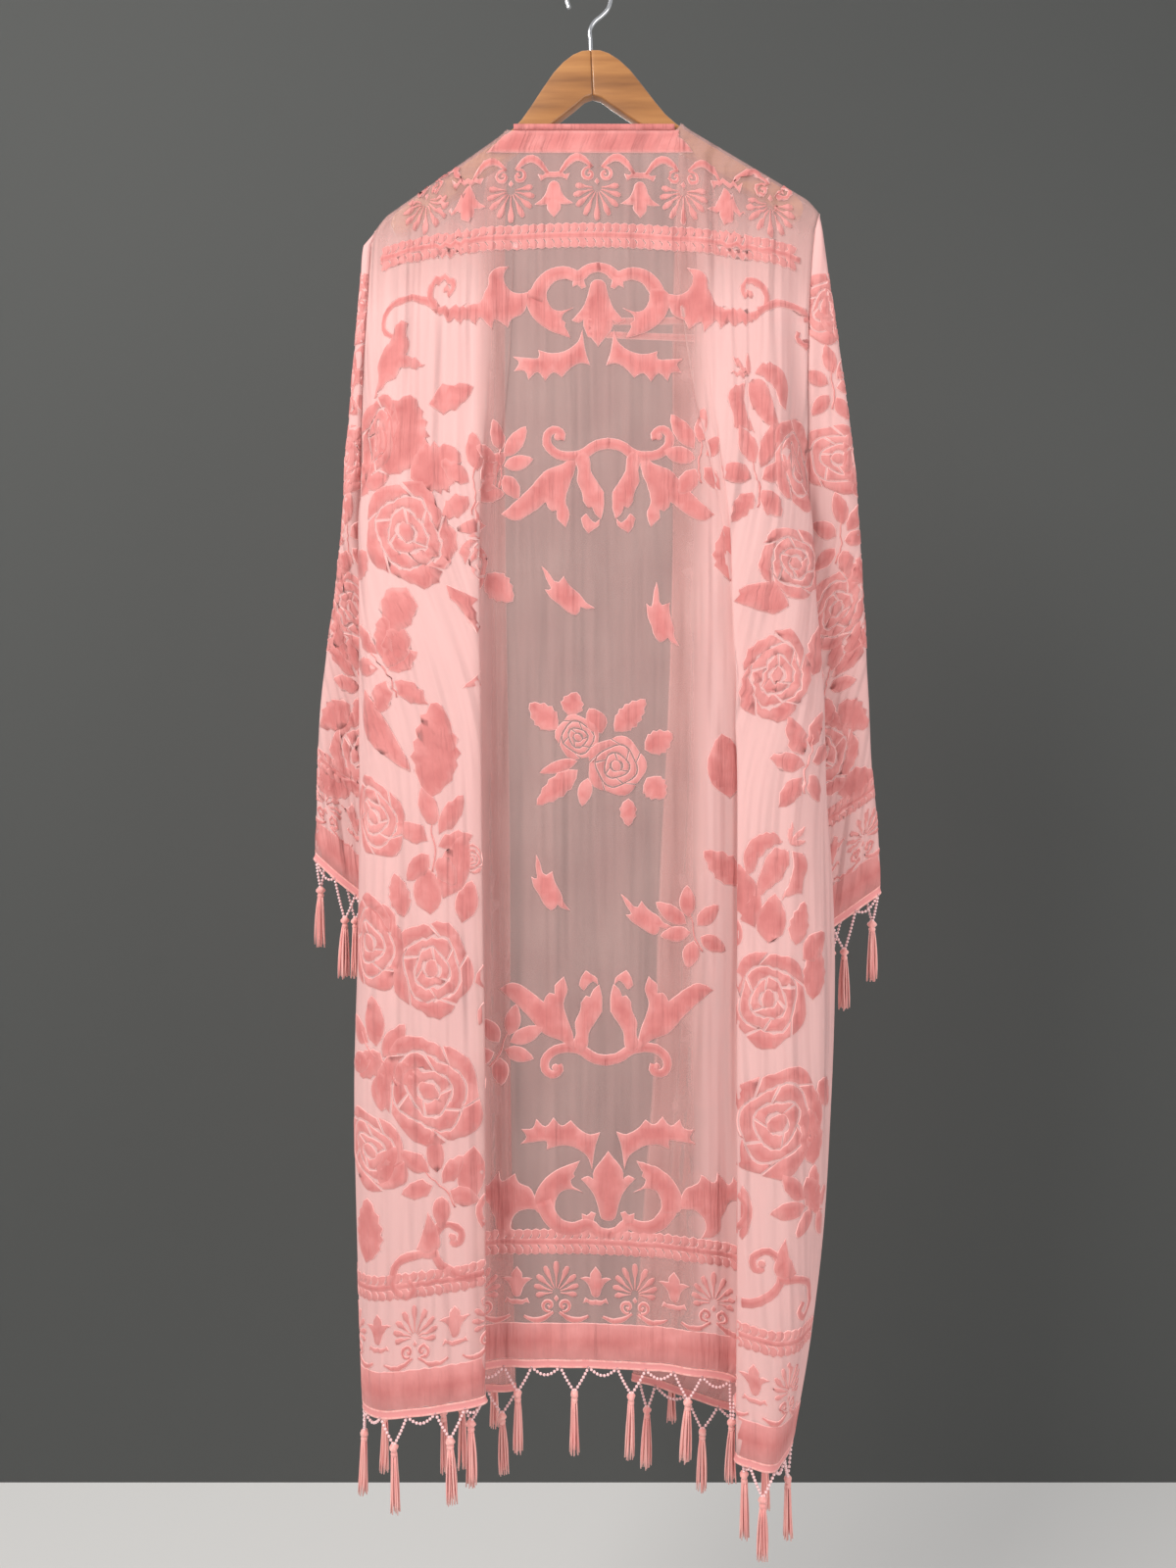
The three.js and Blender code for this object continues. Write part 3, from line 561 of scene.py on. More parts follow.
last = backSurface.shape[1] - 1
panels = {
    "back": Panel(backSurface, awayFromBack, backCreases, hang=1.7, seed=0.4),
    "front_left": Panel(frontLeftSurface, awayFromFront, frontCreases, mirror=-1, seed=1.1),
    "front_right": Panel(frontRightSurface, awayFromFront, frontCreases, seed=2.3),
    "sleeve_left": Panel(sleeveGrid(leftSide, leftSleeve, edgePoint(backSurface, 0, 1),
                                    edgePoint(frontLeftSurface, 0, 1)),
                         awayFromMiddle, sleeveCreases, mirror=-1, hang=1.2, seed=3.0),
    "sleeve_right": Panel(sleeveGrid(rightSide, rightSleeve, edgePoint(backSurface, last, -1),
                                     edgePoint(frontRightSurface, 0, 1)),
                          awayFromMiddle, sleeveCreases, hang=1.2, seed=4.2),
}
panels["back"].centreOn(last // 2)
print("cloth surfaces made")


# velvet motifs, drawn flat in mm with y up; each is a list of blobs (outlines) and ribbons (paths)
# the shade value at the top of each bevel is part of a painted highlight: the pile's cut edges are painted
# paler and glow, in place of velvet's sheen seen edge-on
pile = {"high": 1.0, "low": 0.3, "bevel": 0.95, "lattice": 7.0, "layers": 5, "layerStep": 0.07,
        "bevelPaintedHighlight": 0.14, "filledArea": 170}


def outline(points, spacing=3.6):
    # a closed outline through points; a third number marks a sharp corner
    first = next((n for n, p in enumerate(points) if len(p) > 2), 0)
    order = points[first:] + points[:first + 1]
    result, run = [], [order[0][:2]]
    for n, p in enumerate(order[1:]):
        run.append(p[:2])
        if len(p) > 2 or n == len(order) - 2:
            line = np.array(run, float)
            for span in range(len(run) - 1):
                length = float(np.linalg.norm(line[span + 1] - line[span]))
                count = max(1, round(length / (spacing if len(run) > 2 else 7)))
                result += [catmull(line, span + k / count) for k in range(count)]
            run = [p[:2]]
    return np.array(result)


def blob(*points):
    return [("blob", outline(list(points)))]


def circle(radius, points=10):
    angle = np.linspace(0, 2 * np.pi, points, endpoint=False)
    return np.column_stack([radius * np.cos(angle), radius * np.sin(angle)])


def moved(motif, x=0.0, y=0.0, turn=0.0, size=1.0, flip=False, high=1.0):
    # turn is in degrees, anticlockwise; high below 0 turns the motif upside down
    angle = math.radians(turn)
    spin = np.array([[math.cos(angle), math.sin(angle)], [-math.sin(angle), math.cos(angle)]])
    result = []
    for shape in motif:
        points = shape[1] * np.array([-size if flip else size, size * high])
        widths = (shape[2] * size,) if len(shape) > 2 else ()
        result.append((shape[0], points @ spin + np.array([x, y])) + widths)
    return result


def mirrored(motif):
    return motif + moved(motif, flip=True)


def stem(points, width=2.2, taper=0.6, count=14):
    line = np.array([catmull(np.array(points, float), t) for t in np.linspace(0, len(points) - 1, count)])
    return [("ribbon", line, width * (1 - taper * np.linspace(0, 1, count)))]


def leafTo(base, tip, width, teeth=5):
    # a broad leaf from its foot to its point, saw-edged if it has teeth
    base, tip = np.array(base, float), np.array(tip, float)
    way = tip - base
    side = np.array([way[1], -way[0]]) / np.linalg.norm(way)
    right, left = [], []
    steps = max(teeth * 2, 8)
    for n in range(1, steps):
        t = n / steps
        half = width / 2 * math.sin(math.pi * t ** 0.85) ** 0.75
        if teeth and n > 1:
            half *= 1.04 if n % 2 else 0.88
        right.append(base + way * (t + (0.02 if n % 2 else 0)) + side * half)
        left.append(base + way * (t + (0.02 if n % 2 else 0)) - side * half * 0.94)
    return [("blob", np.array([base] + right + [tip] + left[::-1]))]


def leaves(*rows):
    return [shape for row in rows for shape in leafTo(*row)]


def crescent(base, tip, width, bend):
    # a smooth leaf that curves to one side
    base, tip = np.array(base, float), np.array(tip, float)
    way = tip - base
    side = np.array([way[1], -way[0]]) / np.linalg.norm(way)
    t = np.linspace(0, 1, 9)[1:-1, None]
    middle = base + way * t + side * bend * np.sin(np.pi * t)
    half = side * width / 2 * np.sin(np.pi * t ** 0.8) ** 0.8
    return [("blob", np.vstack([[base], middle + half, [tip], (middle - half)[::-1]]))]


def rose(radius, turn=0.0, tall=1.12):
    # wavy rings of petals round a bud, with thin sheer lines between them
    lines = [(0.0, 0, 0, 0), (0.20, 2, 0.14, 0.4), (0.43, 3, 0.10, 1.1), (0.70, 4, 0.07, 2.0),
             (0.99, 5, 0.05, 0.6)]
    counts = [1, 3, 3, 5]
    gap = 1.3 if radius > 20 else 1.05

    def reach(n, angle):
        share, waves, deep, shift = lines[n]
        return radius * share * (1 + deep * np.cos(waves * angle + shift))

    shapes = []
    for n, count in enumerate(counts):
        if n == 0:
            angle = np.linspace(0, 2 * np.pi, 10, endpoint=False)
            shapes.append(("blob", np.column_stack([np.cos(angle) * 0.8, np.sin(angle) * 1.25])
                           * (reach(1, angle) - gap / 2)[:, None]))
            continue
        step = 2 * math.pi / count
        for k in range(count):
            start = k * step + n * 1.3
            steps = max(4, int(step * radius * lines[n + 1][0] / 4.5))
            middle = radius * (lines[n][0] + lines[n + 1][0]) / 2
            u = np.linspace(gap / 2 / middle, step - gap / 2 / middle, steps)
            inner, outer = start + u - 0.12, start + u + 0.2
            bulge = 0.05 * radius * np.sin(np.pi * np.linspace(0, 1, steps)) if n == len(counts) - 1 else 0
            near, far = reach(n, inner) + gap / 2, reach(n + 1, outer) - gap / 2 + bulge
            nearLine = np.column_stack([near * np.cos(inner), near * np.sin(inner)])
            farLine = np.column_stack([far * np.cos(outer), far * np.sin(outer)])
            shapes.append(("blob", np.vstack([farLine, nearLine[::-1]])))
    return moved(shapes, turn=turn, high=tall)


def bell(length=46, width=39):
    # a hanging bell flower under a small curled cap, from its stem at the top down
    body = blob((0, -9), (5, -12), (8, -21), (12, -27), (19.5, -32.5, 1), (13, -34), (7, -33.5, 1),
                (6.5, -39), (0, -47, 1), (-6.5, -39), (-7, -33.5, 1), (-13, -34), (-19.5, -32.5, 1),
                (-12, -27), (-8, -21), (-5, -12))
    cap = blob((0, 0), (7, 0), (11, -3), (16, -2, 1), (13, -9, 1), (7, -6), (0, -6.5), (-7, -6),
               (-13, -9, 1), (-16, -2, 1), (-11, -3), (-7, 0))
    return [(kind, points * np.array([width / 39, length / 47])) for kind, points in body + cap]


def bigBell():
    return blob((0, 0), (7, -3), (11, -17), (16, -29), (27, -42, 1), (20, -45), (15, -42, 1), (14, -51),
                (0, -69, 1), (-14, -51), (-15, -42, 1), (-20, -45), (-27, -42, 1), (-16, -29), (-11, -17),
                (-7, -3))


def curl(radius=7.0, width=3.4):
    t = np.linspace(0, 1, 20)
    angle = -1.9 + 2 * np.pi * 1.05 * t
    reach = radius * (1 - 0.62 * t)
    line = np.column_stack([reach * np.cos(angle), reach * np.sin(angle)])
    return [("ribbon", line, width * (0.75 + 0.5 * np.sin(np.pi * t))),
            ("blob", circle(radius * 0.2, 7) + line[-1] * 0.25)]


def palmette():
    # a fan of nine petals over two curls, upright, from the foot of the curls
    shapes = blob((0, 10, 1), (2.6, 13.5, 1), (0, 17, 1), (-2.6, 13.5, 1))
    for n in range(9):
        share = n / 4 - 1
        long = 27 - 10 * abs(share)
        club = outline([(0.4, 0), (1.0, long * 0.4), (2.9, long * 0.75), (2.0, long - 1), (0, long),
                        (-2.0, long - 1), (-2.9, long * 0.75), (-1.0, long * 0.4), (-0.4, 0)])
        angle = share * 98
        place = math.radians(angle)
        shapes += moved([("blob", club)], 4.0 * math.sin(place), 20 + 4.0 * math.cos(place), -angle)
    return shapes + mirrored(moved(curl(6.4, 3.4), 8.0, 6.5))


def arc(x0, y0, x1, y1, rise, width=7.5):
    t = np.linspace(0, 1, 9)
    line = np.column_stack([lerp(x0, x1, t), lerp(y0, y1, t) + rise * np.sin(np.pi * t)])
    return [("ribbon", line, width * (0.35 + 0.65 * np.sin(np.pi * np.clip(t, 0.06, 0.94))))]


def crown():
    # wide leaf scrolls to both sides of a bell, from the bell's top
    side = stem([(-2, 13), (10, 10), (20, 3), (34, 7), (48, 4), (58, -6), (64, -20)], 10.0, -0.7, 20)
    side += blob((15, 6, 1), (25, 2), (26, -8, 1), (21, -6), (17, -10, 1), (12, -8, 1), (14, -2))
    side += blob((54, -8), (68, -8), (74, -16), (71, -30), (62, -43), (50, -52), (40, -56), (28, -60, 1),
                 (31, -53), (34, -48, 1), (33, -44), (37, -41, 1), (35, -35), (25, -29, 1), (38, -32),
                 (47, -29), (52, -20))
    side += blob((70, -13), (80, -12), (89, -9), (95, -1), (96, 8), (91, 16, 1), (103, 15), (111, 8),
                 (112, -3), (116, -10, 1), (120, -19), (134, -21), (152, -20, 1), (158, -29), (150, -36, 1),
                 (143, -34), (140, -40, 1), (133, -35), (124, -44, 1), (120, -36), (108, -49, 1), (105, -39),
                 (92, -47, 1), (88, -38), (76, -32))
    side += stem([(152, -26), (163, -21), (171, -10), (170, 3), (161, 11), (150, 8), (147, -1), (153, -6)],
                 9.5, 0.35, 20) + moved([("blob", circle(4.2, 8))], 154, -3)
    side += stem([(163, -19), (180, -7), (200, -4), (216, -11), (220, -27), (211, -39), (201, -35),
                  (202, -27)], 9.0, 0.3, 20)
    side += blob((16, -51, 1), (21, -64), (34, -73), (48, -75), (61, -71, 1), (61, -79), (74, -78),
                 (87, -76, 1), (81, -83), (86, -91, 1), (75, -92), (71, -101, 1), (62, -94),
                 (54, -103, 1), (46, -95), (37, -100, 1), (28, -91), (18, -86), (8, -88, 1), (13, -72))
    return bigBell() + mirrored(side)


def lyre():
    # an open arch between two wings, the arch round the origin
    side = stem([(-2, 23.5), (12, 21), (25, 12.5), (38, 10.5), (51, 13), (60, 22), (60, 32), (53, 37),
                 (46, 33), (47, 27)], 11.5, 0.35, 22)
    side += moved([("blob", circle(4.0, 8))], 50, 30)
    side += blob((24, 16), (18, 8), (17, -4), (11, -14), (4, -25, 1), (4, -40), (7, -52, 1), (13, -47),
                 (16, -40, 1), (20, -41), (25, -34, 1), (26, -26), (31, -14), (30, -3), (33, 8))
    side += blob((31, 14), (44, 4), (52, 1), (64, -5), (80, -23), (106, -47, 1), (96, -53), (86, -52),
                 (72, -43), (62, -35, 1), (60, -40), (56, -44, 1), (51, -43), (51, -51), (42, -60, 1),
                 (38, -47), (42, -33), (38, -18), (33, -4))
    side += blob((8, -51, 1), (13, -55), (18, -51, 1), (22, -46), (27, -51, 1), (25, -59), (20, -66, 1),
                 (14, -62), (9, -58))
    return mirrored(side)


def sprig():
    return blob((-26, 24, 1), (-20, 19), (-13, 9), (-9, 8, 1), (-4, 14, 1), (2, 5), (12, -4), (18, -12, 1),
                (27, -18, 1), (18, -19), (13, -17), (12, -21, 1), (8, -25), (0, -22), (-8, -15), (-17, -8),
                (-23, 1, 1), (-17, 1), (-22, 12))


def sideScroll():
    # two curls off one stem
    shapes = stem([(58, -16), (34, -18), (10, -6), (2, 16), (14, 32), (30, 26), (28, 14), (20, 16)],
                  10.5, 0.3, 22)
    shapes += moved([("blob", circle(4.4, 8))], 22, 20)
    shapes += stem([(6, 4), (-16, 2), (-34, -8), (-38, -28), (-26, -38), (-16, -30), (-22, -22)],
                   9.5, 0.3, 20)
    return shapes + blob((-14, 8, 1), (-8, 22), (-2, 44, 1), (8, 26), (10, 12), (-2, 4))


def roseSpray():
    return moved(rose(21, 40), -24, 18) + moved(rose(29, 10, 1.0), 14, -10) + leaves(
        ((-44, 26), (-72, 52), 26, 5), ((-34, 40), (-25, 63), 24, 4), ((0, 22), (-13, 47), 22, 0),
        ((12, 24), (43, 56), 25, 6), ((42, 6), (70, 22), 26, 5), ((44, -22), (62, -42), 27, 5),
        ((26, -42), (26, -70), 18, 4), ((-14, -22), (-20, -50), 15, 0), ((-24, -14), (-65, -49), 23, 5),
        ((-24, -5), (-62, -17), 13, 0))


def fiveLeaves():
    return stem([(0, -30), (3, -12), (-1, 6), (2, 22)], 2.4) + leaves(
        ((2, 10), (-9, 44), 19, 0), ((6, 4), (30, 38), 19, 0), ((5, -6), (38, 2), 18, 0),
        ((-4, -2), (-34, 12), 19, 0), ((-3, -14), (-24, -38), 19, 0), ((5, -16), (22, -42), 20, 0))


def budSpray():
    # a tulip-like bud with three petals and thin sepals
    shapes = blob((-6, -2, 1), (-20, -6), (-25, -16), (-20, -30), (-18, -42, 1), (-6, -44), (4, -47, 1),
                  (-3, -32), (-7, -18))
    shapes += blob((-3, -3, 1), (8, 1), (18, -6), (24, -20), (30, -38), (38, -52, 1), (24, -44),
                   (13, -36), (4, -28), (-3, -15))
    shapes += blob((4, 5, 1), (10, 13), (24, 14), (36, 6), (41, -8), (38, -26, 1), (31, -22),
                   (26, -10), (17, -1))
    return shapes + leaves(*(((-3, 3), tip, 6, 0) for tip in ((-20, 20), (-4, 24), (-22, 6))))


def acanthusLeaf():
    return blob((-24, -34, 1), (-14, -20), (-16, -8), (-6, 6), (2, 14), (6, 26, 1), (12, 30), (20, 28, 1),
                (18, 20), (22, 8), (18, -2, 1), (28, -4), (38, -10, 1), (26, -14), (14, -12), (8, -22),
                (-2, -26, 1), (-8, -30), (-14, -30, 1), (-18, -34))


def roseGarland(turn=0.0):
    # a large rose with saw-edged leaves, a small rose and a curved leaf, about 300 mm tall
    shapes = rose(41, turn)
    shapes += leaves(((-14, 50), (8, 122), 62, 9), ((8, 46), (58, 70), 48, 7), ((26, 112), (72, 128), 26, 0))
    shapes += moved(acanthusLeaf(), -16, 158) + moved(fiveLeaves(), 68, 44, -14)
    shapes += moved(rose(23, 30 + turn), 66, -26)
    shapes += leaves(((88, -34), (112, -58), 26, 5), ((46, 2), (88, 8), 16, 0))
    shapes += crescent((22, -48), (44, -112), 24, -9) + crescent((42, -104), (8, -136), 12, -8)
    return shapes + leaves(((-12, -48), (-40, -88), 30, 0), ((-26, -84), (-52, -118), 24, 0),
                           ((-36, 36), (-64, 70), 30, 5), ((-42, -14), (-72, -36), 28, 5))


def twoRoses(turn=0.0):
    # two large roses one above the other with buds and leaves over them
    shapes = moved(rose(36, turn), 2, 52) + moved(rose(42, 50 + turn, 1.2), -3, -52)
    shapes += leaves(((2, 98), (-4, 140), 28, 0), ((14, 112), (34, 168), 30, 0),
                     ((30, 92), (40, 128), 22, 0), ((-22, 96), (-32, 134), 22, 5),
                     ((-30, 84), (-58, 106), 24, 0)) + moved(rose(12, 20), 40, 146)
    return shapes + leaves(((40, 40), (70, 52), 24, 4), ((42, 4), (66, 28), 22, 0),
                           ((36, -98), (30, -150), 26, 0), ((-30, -100), (-48, -134), 26, 5),
                           ((-46, -20), (-70, -44), 26, 5), ((46, -50), (72, -30), 20, 0))


class PileMaker:
    # collects the motifs of one cloth piece and makes them one raised mesh
    def __init__(self, panel):
        self.panel = panel
        self.flat, self.lift, self.rim, self.shells = [], [], [], []
        self.count, self.skipped, self.layer = 0, 0, 0

    def add(self, flat, lift, rim, faces, backing):
        # one closed shell, its last faces are the backing
        self.layer = (self.layer + 1) % pile["layers"]
        self.flat.append(flat)
        self.lift.append(np.asarray(lift) + pile["layerStep"] * self.layer)
        self.rim.append(rim)
        faces = [tuple(self.count + n for n in face) for face in faces + backing]
        self.shells.append((faces, [0] * (len(faces) - len(backing)) + [1] * len(backing)))
        self.count += len(flat)

    def blob(self, outline):
        following = np.roll(outline, -1, axis=0)
        area = np.sum(outline[:, 0] * following[:, 1] - following[:, 0] * outline[:, 1]) / 2
        if area < 0:
            outline = outline[::-1]
        n = len(outline)
        way = np.roll(outline, -1, axis=0) - np.roll(outline, 1, axis=0)
        inward = np.column_stack([-way[:, 1], way[:, 0]])
        inward /= np.maximum(np.linalg.norm(inward, axis=1, keepdims=True), 1e-6)
        apart = np.linalg.norm(outline[:, None] - outline[None], axis=2)
        steps = np.abs(np.arange(n)[:, None] - np.arange(n)[None])
        apart[np.minimum(steps, n - steps) < 2] = 99
        room = np.minimum(pile["bevel"], 0.34 * apart.min(axis=1))[:, None]
        edges = [(k, (k + 1) % n) for k in range(n)]
        for share in (1, 0.6, 0.3, 0.12):
            ring = outline + inward * room * share
            extra = self.inside(ring) if abs(area) > pile["filledArea"] else np.empty((0, 2))
            top = np.vstack([ring, extra])
            found = geometry.delaunay_2d_cdt([Vector(p) for p in top], edges, [], 1, 1e-5)
            verts, triangles = found[0], found[2]
            if len(verts) == len(top) and len(triangles) >= n - 2:
                break
        else:
            self.skipped += 1
            return
        low = np.vstack([outline, extra])
        m = len(top)
        flat = np.vstack([top, low])
        lift = np.concatenate([np.full(m, pile["high"]), np.full(m, pile["low"])])
        # painted highlight: the outline at the foot of the bevel gets the full pale glowing rim, the top of
        # the bevel a little of it
        rim = np.concatenate([np.full(n, pile["bevelPaintedHighlight"]), np.zeros(len(extra)),
                              np.ones(n), np.zeros(len(extra))])
        faces = [tuple(t) for t in triangles]
        faces += [(k, m + k, m + (k + 1) % n, (k + 1) % n) for k in range(n)]
        self.add(flat, lift, rim, faces, [tuple(m + k for k in reversed(t)) for t in triangles])

    def inside(self, ring):
        step = pile["lattice"]
        low, high = ring.min(axis=0), ring.max(axis=0)
        found = []
        for x in np.arange(low[0] + step / 2, high[0], step):
            for y in np.arange(low[1] + step / 2, high[1], step):
                cross = False
                for (x0, y0), (x1, y1) in zip(ring, np.roll(ring, -1, axis=0)):
                    if (y0 > y) != (y1 > y) and x < (x1 - x0) * (y - y0) / (y1 - y0) + x0:
                        cross = not cross
                if cross and np.min(np.hypot(ring[:, 0] - x, ring[:, 1] - y)) > step * 0.4:
                    found.append((x, y))
        return np.array(found) if found else np.empty((0, 2))

    def ribbon(self, path, widths):
        way = np.gradient(path, axis=0)
        way /= np.maximum(np.linalg.norm(way, axis=1, keepdims=True), 1e-6)
        side = np.column_stack([-way[:, 1], way[:, 0]])
        half = np.asarray(widths)[:, None] / 2
        tight = np.minimum(pile["bevel"], half * 0.5)
        rows = [path + side * half, path + side * (half - tight), path,
                path - side * (half - tight), path - side * half]
        n = len(path)
        flat = np.vstack(rows + [path])
        low, high, shade = pile["low"], pile["high"], pile["bevelPaintedHighlight"]
        lift = np.repeat([low, high, high + 0.1, high, low, low], n)
        # painted highlight: the ribbon's two edges get the full pale glowing rim, the tops of the bevel a
        # little, the middle none and its underside line some
        rim = np.repeat([1.0, shade, 0.0, shade, 1.0, 0.3], n)
        faces, backing = [], []
        loop = [0, 1, 2, 3, 4, 5]
        # the last two strips lie on the cloth
        for a, b in zip(loop, loop[1:] + loop[:1]):
            for k in range(n - 1):
                quad = (a * n + k, a * n + k + 1, b * n + k + 1, b * n + k)
                (faces if a < 4 else backing).append(quad)
        faces.append(tuple(a * n for a in loop))
        faces.append(tuple(a * n + n - 1 for a in reversed(loop)))
        self.add(flat, lift, rim, faces, backing)

    def motif(self, shapes, x, z, warp=None):
        # a motif with its middle at flat x and height z
        for shape in shapes:
            points = shape[1] + np.array([x, z])
            if warp is not None:
                points = warp(points)
            if shape[0] == "blob":
                self.blob(points)
            else:
                self.ribbon(points, shape[2])

    def make(self, name):
        # every shell is turned by its volume, so that all its faces look outwards
        flat = np.vstack(self.flat)
        points = self.panel.place(flat, np.concatenate(self.lift))
        faces, kinds = [], []
        for shell, shellKinds in self.shells:
            first, volume = points[shell[0][0]], 0.0
            for face in shell:
                corners = points[list(face)] - first
                for n in range(1, len(face) - 1):
                    volume += float(np.dot(corners[0], np.cross(corners[n], corners[n + 1])))
            faces += shell if volume > 0 else [face[::-1] for face in shell]
            kinds += shellKinds
        piece = addMesh(name, points, faces, uv=flat, shade=np.concatenate(self.rim))
        piece.data.polygons.foreach_set("material_index", kinds)
        print(name, len(faces), "faces", self.skipped, "skipped")
        return piece


def hemWarp(panel):
    # points whose y counts up from the hem
    def warp(points):
        return np.column_stack([points[:, 0], panel.hemAt(points[:, 0]) + points[:, 1]])
    return warp


def band(start, end, y, high):
    count = max(int(abs(end - start) / 5), 2)
    line = np.column_stack([np.linspace(start, end, count), np.full(count, y)])
    return [("ribbon", line, np.full(count, high))]


def braid(start, end, y, pitch=8.2):
    # a plait: leaning links on a middle cord, open in two rows of small eyes, its edges toothed
    shapes = band(start, end, y, 7.0)
    link = outline([(-3.4, 2.2, 1), (3.2, 2.2, 1), (6.4, 5.6), (7.6, 10.4), (2.6, 12.9), (-2.0, 11.0, 1),
                    (-1.0, 6.0)])
    for n in range(int((end - start) / pitch)):
        x = start + (n + 0.5) * pitch
        shapes += moved([("blob", link)], x - 1.6, y)
        shapes += moved([("blob", link)], x - 1.6, y, high=-1)
    return shapes


def borderRow(start, end, pitch, shift=0.0):
    # above a hem: velvet band, curved arcs, palmettes and bells, then the plait
    shapes = band(start, end, 18.2, 36)
    count = max(int(round((end - start) / pitch)), 1)
    step = (end - start) / count
    for n in range(count + 1):
        x = start + (n + shift) * step
        if start + 17 < x < end - 17:
            shapes += moved(palmette(), x, 47, size=0.98)
        half = x + step / 2
        if start + 14 < half < end - 14:
            shapes += moved(bell(38, 31), half, 54, high=-1)
        for left, right in ((x + 3, half - 7), (half + 7, x + step - 3)):
            if left > start + 2 and right < end - 2:
                shapes += arc(left, 47 if left < half else 43, right, 43 if left < half else 47, -6, 6.0)
    return shapes + braid(start + 1, end - 1, 116)


def velvetOfBack(name):
    panel = panels[name]
    maker = PileMaker(panel)

    def shown(points):
        # from x as seen to flat, sinking a little to both sides
        z = points[:, 1] - 0.00055 * points[:, 0] ** 2
        s = [panel.flatAt(x, height) for x, height in zip(points[:, 0], z)]
        return np.column_stack([s, z])

    # neck band, arcs over palmettes and bells, the upper plait
    maker.motif(blob((-108, -180, 1), (-101, -172), (-82, -157, 1), (88, -157, 1), (107, -171),
                     (114, -180, 1)), 0, 0)
    for n in range(-2, 3):
        x = 9 + n * 85.5
        maker.motif(moved(palmette(), size=1.05, high=-1), x, -194, shown)
        for side in (-1, 1):
            if abs(x + side * 39) < 208:
                maker.motif(arc(side * 5, 0, side * 37, -6, 13, 8.5), x, -194, shown)
    for n in range(-1, 4):
        x = 9 + (n - 0.5) * 85.5
        maker.motif(bell(), x, -198, shown)
    maker.motif(braid(-207, 208, -262), 0, 0, shown)
    maker.motif(moved(crown(), size=0.97), 10, -306, shown)
    for motif, x, z in [
            (lyre(), 20, -492), (sprig(), -20, -614), (moved(sprig(), turn=-32), 77, -640),
            (roseSpray(), 14, -778), (moved(sprig(), turn=-20, size=0.95), -36, -906),
            (moved(sprig(), turn=6, size=0.9), 58, -934), (moved(lyre(), high=-1), 18, -1056),
            (moved(crown(), high=-1), 20, -1238)]:
        maker.motif(motif, x, z)
    # rose garlands down the folds and the edges
    spray, other = fiveLeaves(), moved(fiveLeaves(), flip=True)
    for motif, x, z in [
            (rose(36, 0, 1.3), -212, -468), (moved(roseGarland(), size=1.12), -168, -560),
            (moved(spray, size=1.1, turn=15), -190, -690),
            (crescent((0, 30), (34, -52), 30, 10), -206, -742),
            (leafTo((-8, -44), (14, 52), 48, 7), -146, -776), (rose(32, 30, 1.3), -208, -838),
            (moved(spray, size=1.1), -150, -858), (rose(36, 20, 1.3), -212, -960),
            (moved(twoRoses(), size=1.12), -150, -1042), (moved(spray, size=1.2, turn=40), -206, -1068),
            (rose(34, 50, 1.3), -210, -1160), (moved(spray, turn=40), -146, -1186),
            (sideScroll(), -150, -1258), (leafTo((0, -30), (4, 34), 40, 6), -214, -1240),
            (moved(budSpray(), size=1.15), 160, -408), (other, 112, -478),
            (rose(36, 10, 1.3), 208, -488), (moved(spray, turn=12, size=1.15), 160, -502),
            (rose(34, 70, 1.3), 196, -588), (crescent((0, 0), (-66, 8), 30, 6), 188, -632),
            (leafTo((0, -26), (-6, 30), 40, 5), 140, -580), (rose(36, 15, 1.25), 172, -700),
            (leafTo((0, -24), (10, 30), 36, 5), 214, -676), (moved(other, size=1.1), 206, -782),
            (leafTo((0, -30), (-8, 34), 40, 0), 140, -790),
            (moved(budSpray(), size=1.05, flip=True), 190, -868),
            (leafTo((20, -14), (-22, 20), 30, 5), 136, -892),
            (moved(twoRoses(), flip=True, size=1.14), 178, -1072),
            (leafTo((0, -26), (6, 28), 34, 5), 218, -990), (leafTo((0, -26), (-4, 30), 36, 5), 218, -1150),
            (moved(spray, flip=True, turn=60), 214, -1210), (moved(sideScroll(), flip=True), 190, -1284)]:
        maker.motif(motif, panel.flatAt(x, z), z)
    # sprays on the turned-under layer beside the middle
    for x, z, turn, flip in [(-88, -486, 0, False), (-84, -1062, -30, False), (104, -946, 20, True)]:
        maker.motif(moved(spray, turn=turn, flip=flip, size=0.9), panel.flatAt(x, z), z)
    maker.motif(borderRow(panel.flat[-1][0] + 3, panel.flat[-1][-1] - 3, 78, 0.35), 0, 0, hemWarp(panel))
    return maker.make(name + "_velvet")


def velvetOfFront(name):
    panel = panels[name]
    maker = PileMaker(panel)
    width = float(panel.flat[-1][-1])
    maker.motif(borderRow(3, width - 3, 78), 0, 0, hemWarp(panel))
    columns = panel.grid.shape[1]
    # the band down the front edge
    heights = np.arange(-190, -1372, -8.0)
    edge = np.array([(panel.columnFlat(columns - 1, z) - 13.5, z) for z in heights])
    maker.motif([("ribbon", edge, np.full(len(edge), 24.0))], 0, 0)
    for n, z in enumerate((-420, -760, -1100)):
        s = panel.columnFlat(int(columns * 0.42), z)
        motif = roseGarland(25 * n) if n % 2 == 0 else twoRoses(15)
        maker.motif(moved(motif, size=0.8, flip=n % 2 == 1), s - 6, z)
    for z in (-250, -590, -930, -1240):
        s = panel.columnFlat(int(columns * 0.55), z)
        maker.motif(moved(fiveLeaves(), size=0.85), s, z)
    return maker.make(name + "_velvet")


